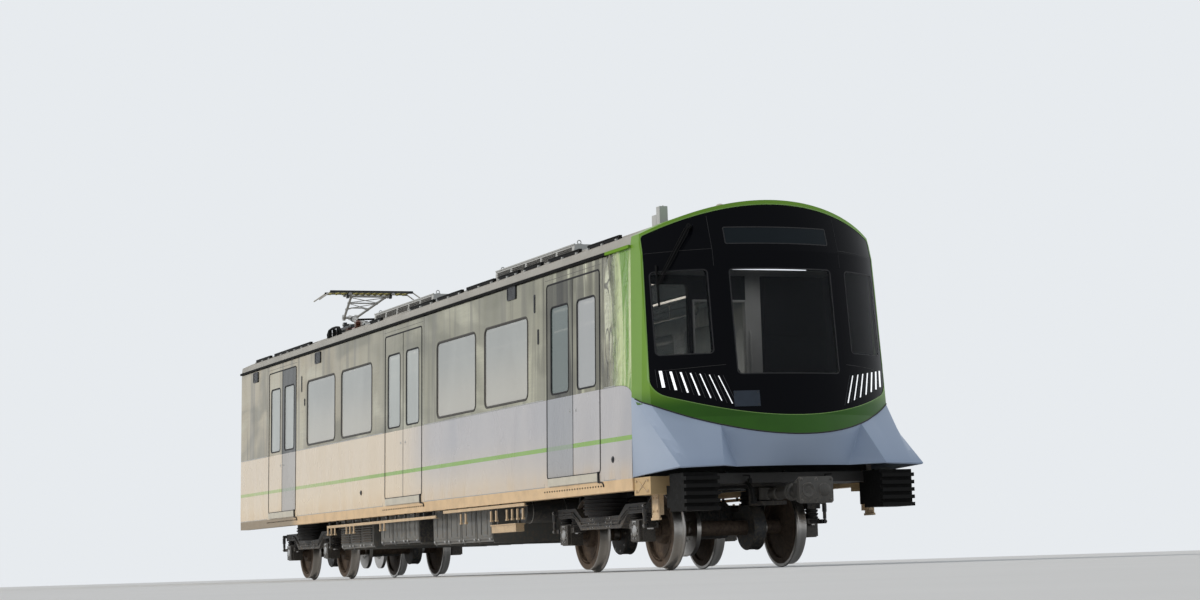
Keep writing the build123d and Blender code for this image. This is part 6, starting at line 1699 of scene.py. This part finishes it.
ceiling_trims.done("ceiling_trims", "aluminium_tube", 0.001)
handrails.done("ceiling_handrails", "pole_steel")

seat_pad, seat_faces = swollen((0.425, 0.33, 0.036), 0.014, 0.020, 0.010)
back_pad, back_pad_faces = swollen((0.425, 0.38, 0.030), 0.012, 0.020, 0.010)
for start in BENCHES:
    for side in SIDES:
        parts = []
        for seat in range(SEAT_PLACES):
            x = start + SEAT_PITCH * (seat + 0.5)
            parts.append((
                [Vector((x + p.x, side * (SEAT_AT[0] + p.y), SEAT_AT[1] + p.z)) for p in seat_pad],
                seat_faces))
            parts.append((
                [Vector((x + p.x, side * (BACK_AT[0] + p.z), BACK_AT[1] + p.y)) for p in back_pad],
                back_pad_faces))
        name = f"bench_pads_{'front' if start > 0 else 'rear'}_{'right' if side < 0 else 'left'}"
        pad_piece(name, parts, "seat_fabric")

# Lamps of the cab and the saloon
for name, place, size, power in (
    # name, place, size along X and Y, power in watts
    ("cab_glow", (8.10, 0.25, 3.29), (0.30, 0.90), 5.0),
    ("saloon_glow_front", (3.4, 0.0, 3.10), (6.5, 1.0), 45.0),
    ("saloon_glow_rear", (-4.9, 0.0, 3.10), (6.5, 1.0), 45.0),
):
    light = bpy.data.lights.new(name, "AREA")
    light.shape = "RECTANGLE"
    light.size, light.size_y = size
    light.energy = power
    lamp = bpy.data.objects.new(name, light)
    lamp.location = place
    lamp.visible_glossy = False
    bpy.context.collection.objects.link(lamp)

# Underframe: doors, latches and ribs on the cases, tank ends, conduits along the sole bars
CASE_NAMES = ("traction_inverter", "battery_case", "brake_resistor")
case_doors, latches, slats = Shape(), Shape(), Shape()
for name in CASE_NAMES:
    (x0, y0, z0), (x1, y1, z1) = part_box(name)
    z_top = z1 - 0.045
    count = round((x1 - x0) / 0.60)
    pitch = (x1 - x0) / count
    for side, wall in ((-1, y0), (1, y1)):
        for number in range(count):
            start, end = x0 + pitch * number + 0.012, x0 + pitch * (number + 1) - 0.012
            case_doors.box((start, end), (wall, wall + side * 0.014), (z0 + 0.03, z_top))
            case_doors.box(
                (start + 0.035, end - 0.035), (wall, wall + side * 0.020), (z0 + 0.065, z_top - 0.035))
            for x in (start + 0.07, end - 0.07):
                latches.lathe((x, wall + side * 0.010, z_top - 0.017), (0, side, 0), (
                    (0, 0.013), (0.012, 0.013), (0.014, 0.008)), 12)
                latches.box(
                    about(x, 0.028), (wall + side * 0.010, wall + side * 0.026), (z0 + 0.022, z0 + 0.046))
            latches.box(
                about((start + end) / 2, 0.05), (wall + side * 0.018, wall + side * 0.032),
                (z_top - 0.075, z_top - 0.062))
            if name == "brake_resistor":
                for row in range(9):
                    z = z0 + 0.085 + 0.036 * row
                    slat = ((0.016, z), (0.040, z - 0.006), (0.042, z), (0.018, z + 0.022))
                    slats.loops([
                        [(x, wall + side * out, rise) for out, rise in slat]
                        for x in (start + 0.05, end - 0.05)
                    ])
            else:
                for bead in (0.30, 0.70):
                    x = start + (end - start) * bead
                    case_doors.box(about(x, 0.014), (wall, wall + side * 0.026), (z0 + 0.09, z_top - 0.06))
        for number in range(count + 1):
            x = min(max(x0 + pitch * number, x0 + 0.03), x1 - 0.03)
            case_doors.box(
                about(x, 0.03), (wall - side * 0.10, wall + side * 0.006), (z1 - 0.03, z1 + 0.004))
            latches.bolt((x, wall + side * 0.006, z1 - 0.014), (0, side, 0), 0.010)
    for rib in range(count + 1):
        x = min(max(x0 + pitch * rib, x0 + 0.03), x1 - 0.03)
        case_doors.box(about(x, 0.022), (y0 + 0.02, y1 - 0.02), (z0 - 0.018, z0 + 0.002))
    for end_x, out in ((x0, -1), (x1, 1)):
        for number in range(6):
            y = y0 + 0.35 + 0.16 * number
            latches.lathe((end_x, y, z1 - 0.12), (out, 0, 0), (
                (0, 0.030), (0.02, 0.030), (0.022, 0.022), (0.05, 0.020)), 16)
        case_doors.box((end_x, end_x + out * 0.010), (0.10, y1 - 0.10), (z0 + 0.06, z1 - 0.10))
case_doors.done("case_doors", "case_paint", 0.003)
latches.done("case_latches", "aluminium_tube", 0.001)
slats.done("resistor_slats", "equipment_paint")

# Conduits with their clamps, straps and pipe of the air tanks
CONDUIT_Z = 0.955
TANK_X, TANK_Z, TANK_RADIUS = 3.7775, 0.785, 0.15
conduits, clamps = Shape(), Shape()
for y, radius in ((1.283, 0.014), (1.316, 0.009)):
    conduits.tube([(x, y, CONDUIT_Z) for x in (-5.20, 5.15)], radius, 10)
for step in range(18):
    x = -5.1 + 0.6 * step
    clamps.box(about(x, 0.012), (1.264, 1.332), (CONDUIT_Z - 0.004, CONDUIT_Z + 0.032))
    clamps.bolt((x, 1.299, CONDUIT_Z - 0.004), DOWN, 0.007)
for x, y in ((7.58, 0.88), (7.58, 0.80), (-7.72, 0.88), (-7.72, 0.80)):
    conduits.tube([(x, y, 1.00), (x, y, 0.90), (x, y - 0.03, 0.86)], 0.013, 10)
    conduits.lathe((x, y, 0.985), DOWN, ((0, 0.024), (0.03, 0.024), (0.034, 0.016)), 12)
conduits.tube([(x, 0.36, 1.045) for x in (-9.0, 8.2)], 0.022, 12)
for y in (0.16, 0.60, 1.04):
    clamps.hoop((TANK_X, y, TANK_Z), ACROSS, TANK_RADIUS + 0.001, 0.006, 36)
clamps.lathe((TANK_X, 1.112, TANK_Z), ACROSS, (
    (0, 0.040), (0.020, 0.040), (0.024, 0.028), (0.04, 0.028)), 16)
clamps.lathe((TANK_X, 0.60, TANK_Z - TANK_RADIUS + 0.004), DOWN, (
    (0, 0.022), (0.020, 0.022), (0.022, 0.014), (0.045, 0.012)), 14)
conduits.tube([
    (TANK_X, 0.46, TANK_Z - TANK_RADIUS + 0.02), (TANK_X, 0.46, 0.60), (TANK_X + 0.10, 0.46, 0.59),
    (TANK_X + 0.24, 0.46, 0.60), (TANK_X + 0.26, 0.46, 0.70), (TANK_X + 0.26, 0.46, 1.02),
], 0.011, 10)
conduits.mirror()
clamps.mirror()
conduits.done("underframe_conduits", "equipment_paint")
clamps.done("underframe_clamps", "aluminium_tube", 0.001)

# Bogies: bolts, spring rings, dampers, bellows folds, pipes and motor fins on each
PIPE_Y = 1.090
PIPE_LOW = 0.555
PIPE_HIGH = 0.705
PIPE_RUN = (
    (-1.30, PIPE_HIGH), (-0.84, PIPE_HIGH), (-0.66, 0.62), (-0.58, PIPE_LOW), (0.58, PIPE_LOW), (0.66, 0.62),
    (0.84, PIPE_HIGH), (1.30, PIPE_HIGH),
)
BOX_Z = 0.453
SPRING_Y = 1.0
SPRING_OFFSET = 0.19
AIR_SPRING_FOLDS = ((0.700, 0.252), (0.742, 0.256), (0.790, 0.256), (0.832, 0.252))
BUSH_X = 0.26
BUSH_Z = 0.57
DISC_Y = 0.455
MOTOR_X = 0.54
MOTOR_Z = 0.56
for end, centre in BOGIES.items():
    body = f"bogie_{end}"
    bolts, rings, dampers, pipes, fins = Shape(), Shape(), Shape(), Shape(), Shape()
    for axle in (-1, 1):
        # Axle box cover, primary springs, damper
        x = centre + axle * HALF_WHEELBASE
        bolts.bolt_circle((x, 1.110, BOX_Z), ACROSS, 0.092, 8, 0.010, 0.5)
        bolts.lathe((x, 1.108, BOX_Z), ACROSS, (
            (0, 0.066), (0.008, 0.066), (0.012, 0.058), (0.014, 0.030)), 28)
        bolts.box(about(x, 0.05), (1.108, 1.116), (0.548, 0.562))
        for offset in about(0, SPRING_OFFSET):
            for row in range(4):
                rings.lathe((x + offset, SPRING_Y, 0.488 + 0.040 * row), UP, (
                    (0, 0.062), (0.006, 0.070), (0.026, 0.078), (0.032, 0.074), (0.034, 0.060)), 28)
            bolts.lathe((x + offset, SPRING_Y, 0.478), DOWN, ((0, 0.040), (0.014, 0.040), (0.018, 0.026)), 6)
        damper_x = x + axle * 0.30
        dampers.lathe((damper_x, 1.112, 0.50), UP, (
            (0, 0.012), (0.03, 0.012), (0.032, 0.020), (0.11, 0.020), (0.112, 0.026), (0.20, 0.026),
            (0.202, 0.012), (0.225, 0.012)), 18)
        for z, reach in ((0.502, -axle * 0.055), (0.722, 0.0)):
            dampers.lathe((damper_x, 1.128, z), (0, -1, 0), ((0, 0.024), (0.034, 0.024)), 16)
            dampers.box((damper_x - 0.02 + reach, damper_x + 0.02), (1.07, 1.100), about(z, 0.024))
            bolts.bolt((damper_x, 1.128, z), ACROSS, 0.011)
        dampers.box((damper_x - axle * 0.09, damper_x + 0.02), (1.075, 1.097), (0.480, 0.526))
    # Folds of the air springs, brake pipes, rubber bushes
    for z, radius in AIR_SPRING_FOLDS:
        rings.hoop((centre, SPRING_Y, z), UP, radius, 0.013, 44, 8)
    bolts.bolt_circle((centre, SPRING_Y, 0.660), UP, 0.185, 8, 0.010)
    pipes.tube([(centre + x, PIPE_Y, z) for x, z in PIPE_RUN], 0.010, 8)
    pipes.tube([(centre + x, PIPE_Y, z - 0.030) for x, z in PIPE_RUN[:3] + PIPE_RUN[5:]], 0.006, 8)
    for x in (-1.15, -0.9, -0.4, 0.0, 0.4, 0.9, 1.15):
        z = PIPE_LOW if abs(x) < 0.5 else PIPE_HIGH
        pipes.box(about(centre + x, 0.012), (1.075, 1.102), about(z, 0.016))
    for x in about(0, BUSH_X):
        for y in (0.30, 0.62):
            pipes.hoop((centre + x, y, BUSH_Z), ACROSS, 0.066, 0.006, 24)
        bolts.bolt_circle((centre + x, 1.082, BUSH_Z), ACROSS, 0.085, 6, 0.009, squash=0.647)
    bolts.mirror()
    rings.mirror()
    dampers.mirror()
    pipes.mirror()
    # Motors and gear cases
    for axle in (-1, 1):
        motor_x = centre + axle * MOTOR_X
        for ring in range(9):
            y = axle * (-0.26 + 0.055 * ring)
            fins.lathe((motor_x, y, MOTOR_Z), ACROSS, (
                (-0.005, 0.209), (-0.005, 0.217), (0.005, 0.217), (0.005, 0.209)), 40, closed=True)
        bolts.bolt_circle((motor_x, axle * -0.300, MOTOR_Z), (0, -axle, 0), 0.17, 10, 0.010)
        fins.lathe((motor_x, axle * -0.298, MOTOR_Z), (0, -axle, 0), (
            (0, 0.09), (0.010, 0.09), (0.016, 0.075), (0.018, 0.03)), 32)
        fins.box(about(motor_x, 0.10), about(0, 0.12), (0.762, 0.79))
        case_x = centre + axle * HALF_WHEELBASE
        for y in (0.262, 0.388):
            fins.hoop((case_x, axle * y, AXLE_HEIGHT), ACROSS, 0.248, 0.009, 44)
        bolts.bolt_circle((case_x, axle * 0.400, AXLE_HEIGHT), (0, axle, 0), 0.215, 9, 0.010)
    bolts.done(f"bogie_bolts_{end}", "bright_steel", body=body, slot="wheel_steel")
    rings.done(f"spring_rubber_{end}", "rubber", body=body, slot="air_spring_rubber")
    dampers.done(f"bogie_dampers_{end}", "equipment_paint", 0.001, body=body)
    pipes.done(f"bogie_pipes_{end}", "equipment_paint", 0.001, body=body)
    fins.done(f"motor_fins_{end}", "equipment_paint", body=body)

    # Wheels: a ring on the rim, hub plugs, bolts of the brake discs
    for spot, axle in (("leading", 1), ("trailing", -1)):
        x = centre + axle * HALF_WHEELBASE
        trim = Shape()
        trim.hoop((x, 0.8155, AXLE_HEIGHT), ACROSS, 0.330, 0.006, 48)
        for place in circle((x, 0.822, AXLE_HEIGHT), ACROSS, 0.112, 3):
            trim.lathe(place, ACROSS, ((0, 0.013), (0.006, 0.013), (0.008, 0.008)), 12)
        trim.mirror()
        for face in SIDES:
            trim.bolt_circle((x, face * 0.025 - axle * DISC_Y, AXLE_HEIGHT), (0, face, 0), 0.135, 12, 0.009)
        finish = f"wheel_{end}_{spot}"
        trim.done(f"wheel_bolts_{end}_{spot}", finish, body=f"wheelset_{end}_{spot}", slot="wheel_steel")

# Rear end: folded bellows, threshold, handrails and sockets
REAR_FACE = -9.278
BELLOWS_REAR = -9.57
FOLDS = 4
FOLD_STEPS = 8
GANGWAY_HALF = 0.65
GANGWAY_TOP = 3.15
outer_fold, inner_fold = [], []
for step in range(FOLDS * FOLD_STEPS + 1):
    share = step / (FOLDS * FOLD_STEPS)
    swell = 0.012 + 0.076 * abs(math.sin(math.pi * FOLDS * share)) ** 0.8
    x = BODY_REAR + (BELLOWS_REAR - BODY_REAR) * share
    outer_fold.append((swell, x))
    inner_fold.append((swell - 0.009, x))
gangway = rounded(0, FLOOR_TOP, 2 * GANGWAY_HALF, GANGWAY_TOP - FLOOR_TOP, 0.08, 5)


def across_rear(point, x):
    """Puts a (y, z) point of the gangway's outline at a place along the car."""
    return (x, point[0], point[1])


bellows = Shape()
bellows.frame_ring(fine(gangway, 0.12), across_rear, outer_fold + inner_fold[::-1])
bellows_piece = bellows.done("folded_bellows", "bellows_cloth", 0.0, 50)
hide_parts("gangway_bellows")
end_frames = Shape()
for x in (-9.296, -9.569):
    end_frames.frame_ring(gangway, across_rear, (
        (0.004, x), (0.088, x), (0.088, x + 0.014), (0.004, x + 0.014)))
for step in range(14):
    for side in SIDES:
        end_frames.bolt((-9.282, side * 0.775, 1.25 + 0.14 * step), (-1, 0, 0), 0.010)
end_frames.frame_ring(gangway, across_rear, (
    (0.09, -9.286), (0.15, -9.286), (0.15, REAR_FACE), (0.09, REAR_FACE)))
end_frames.box((-9.55, -9.19), about(0, 0.60), (1.131, 1.139))
for rib in range(9):
    x = -9.53 + 0.04 * rib
    end_frames.box((x, x + 0.012), about(0, 0.58), (1.138, 1.142))
end_frames.done("gangway_frames", "aluminium_tube", 0.001)

rear_fittings, rear_sockets = Shape(), Shape()
rear_fittings.tube([
    (BODY_REAR, 1.20, 1.45), (-9.33, 1.20, 1.48), (-9.33, 1.20, 2.55), (BODY_REAR, 1.20, 2.58),
], 0.014, 12)
rear_fittings.tube([
    (BODY_REAR, 0.96, 3.40), (-9.32, 0.96, 3.40), (-9.32, 0.40, 3.40), (BODY_REAR, 0.40, 3.40),
], 0.012, 12)
for z in (1.14, 3.55):
    rear_fittings.box((-9.288, REAR_FACE), (0.80, 1.36), (z, z + 0.012))
rear_fittings.box((-9.290, REAR_FACE), (1.352, 1.364), (1.14, 3.56))
for y, z in ((0.93, 1.26), (1.14, 1.26), (0.93, 1.46)):
    rear_sockets.lathe((REAR_FACE, y, z), (-1, 0, -0.15), (
        (0, 0.075), (0.012, 0.075), (0.016, 0.058), (0.060, 0.055), (0.062, 0.064), (0.078, 0.064),
        (0.082, 0.052)), 28)
    rear_sockets.box((-9.350, -9.335), about(y, 0.02), (z + 0.05, z + 0.075))
rear_fittings.mirror()
rear_sockets.mirror()
rear_fittings.done("rear_handrails", "aluminium_tube")
rear_sockets.done("rear_sockets", "dark_trim")
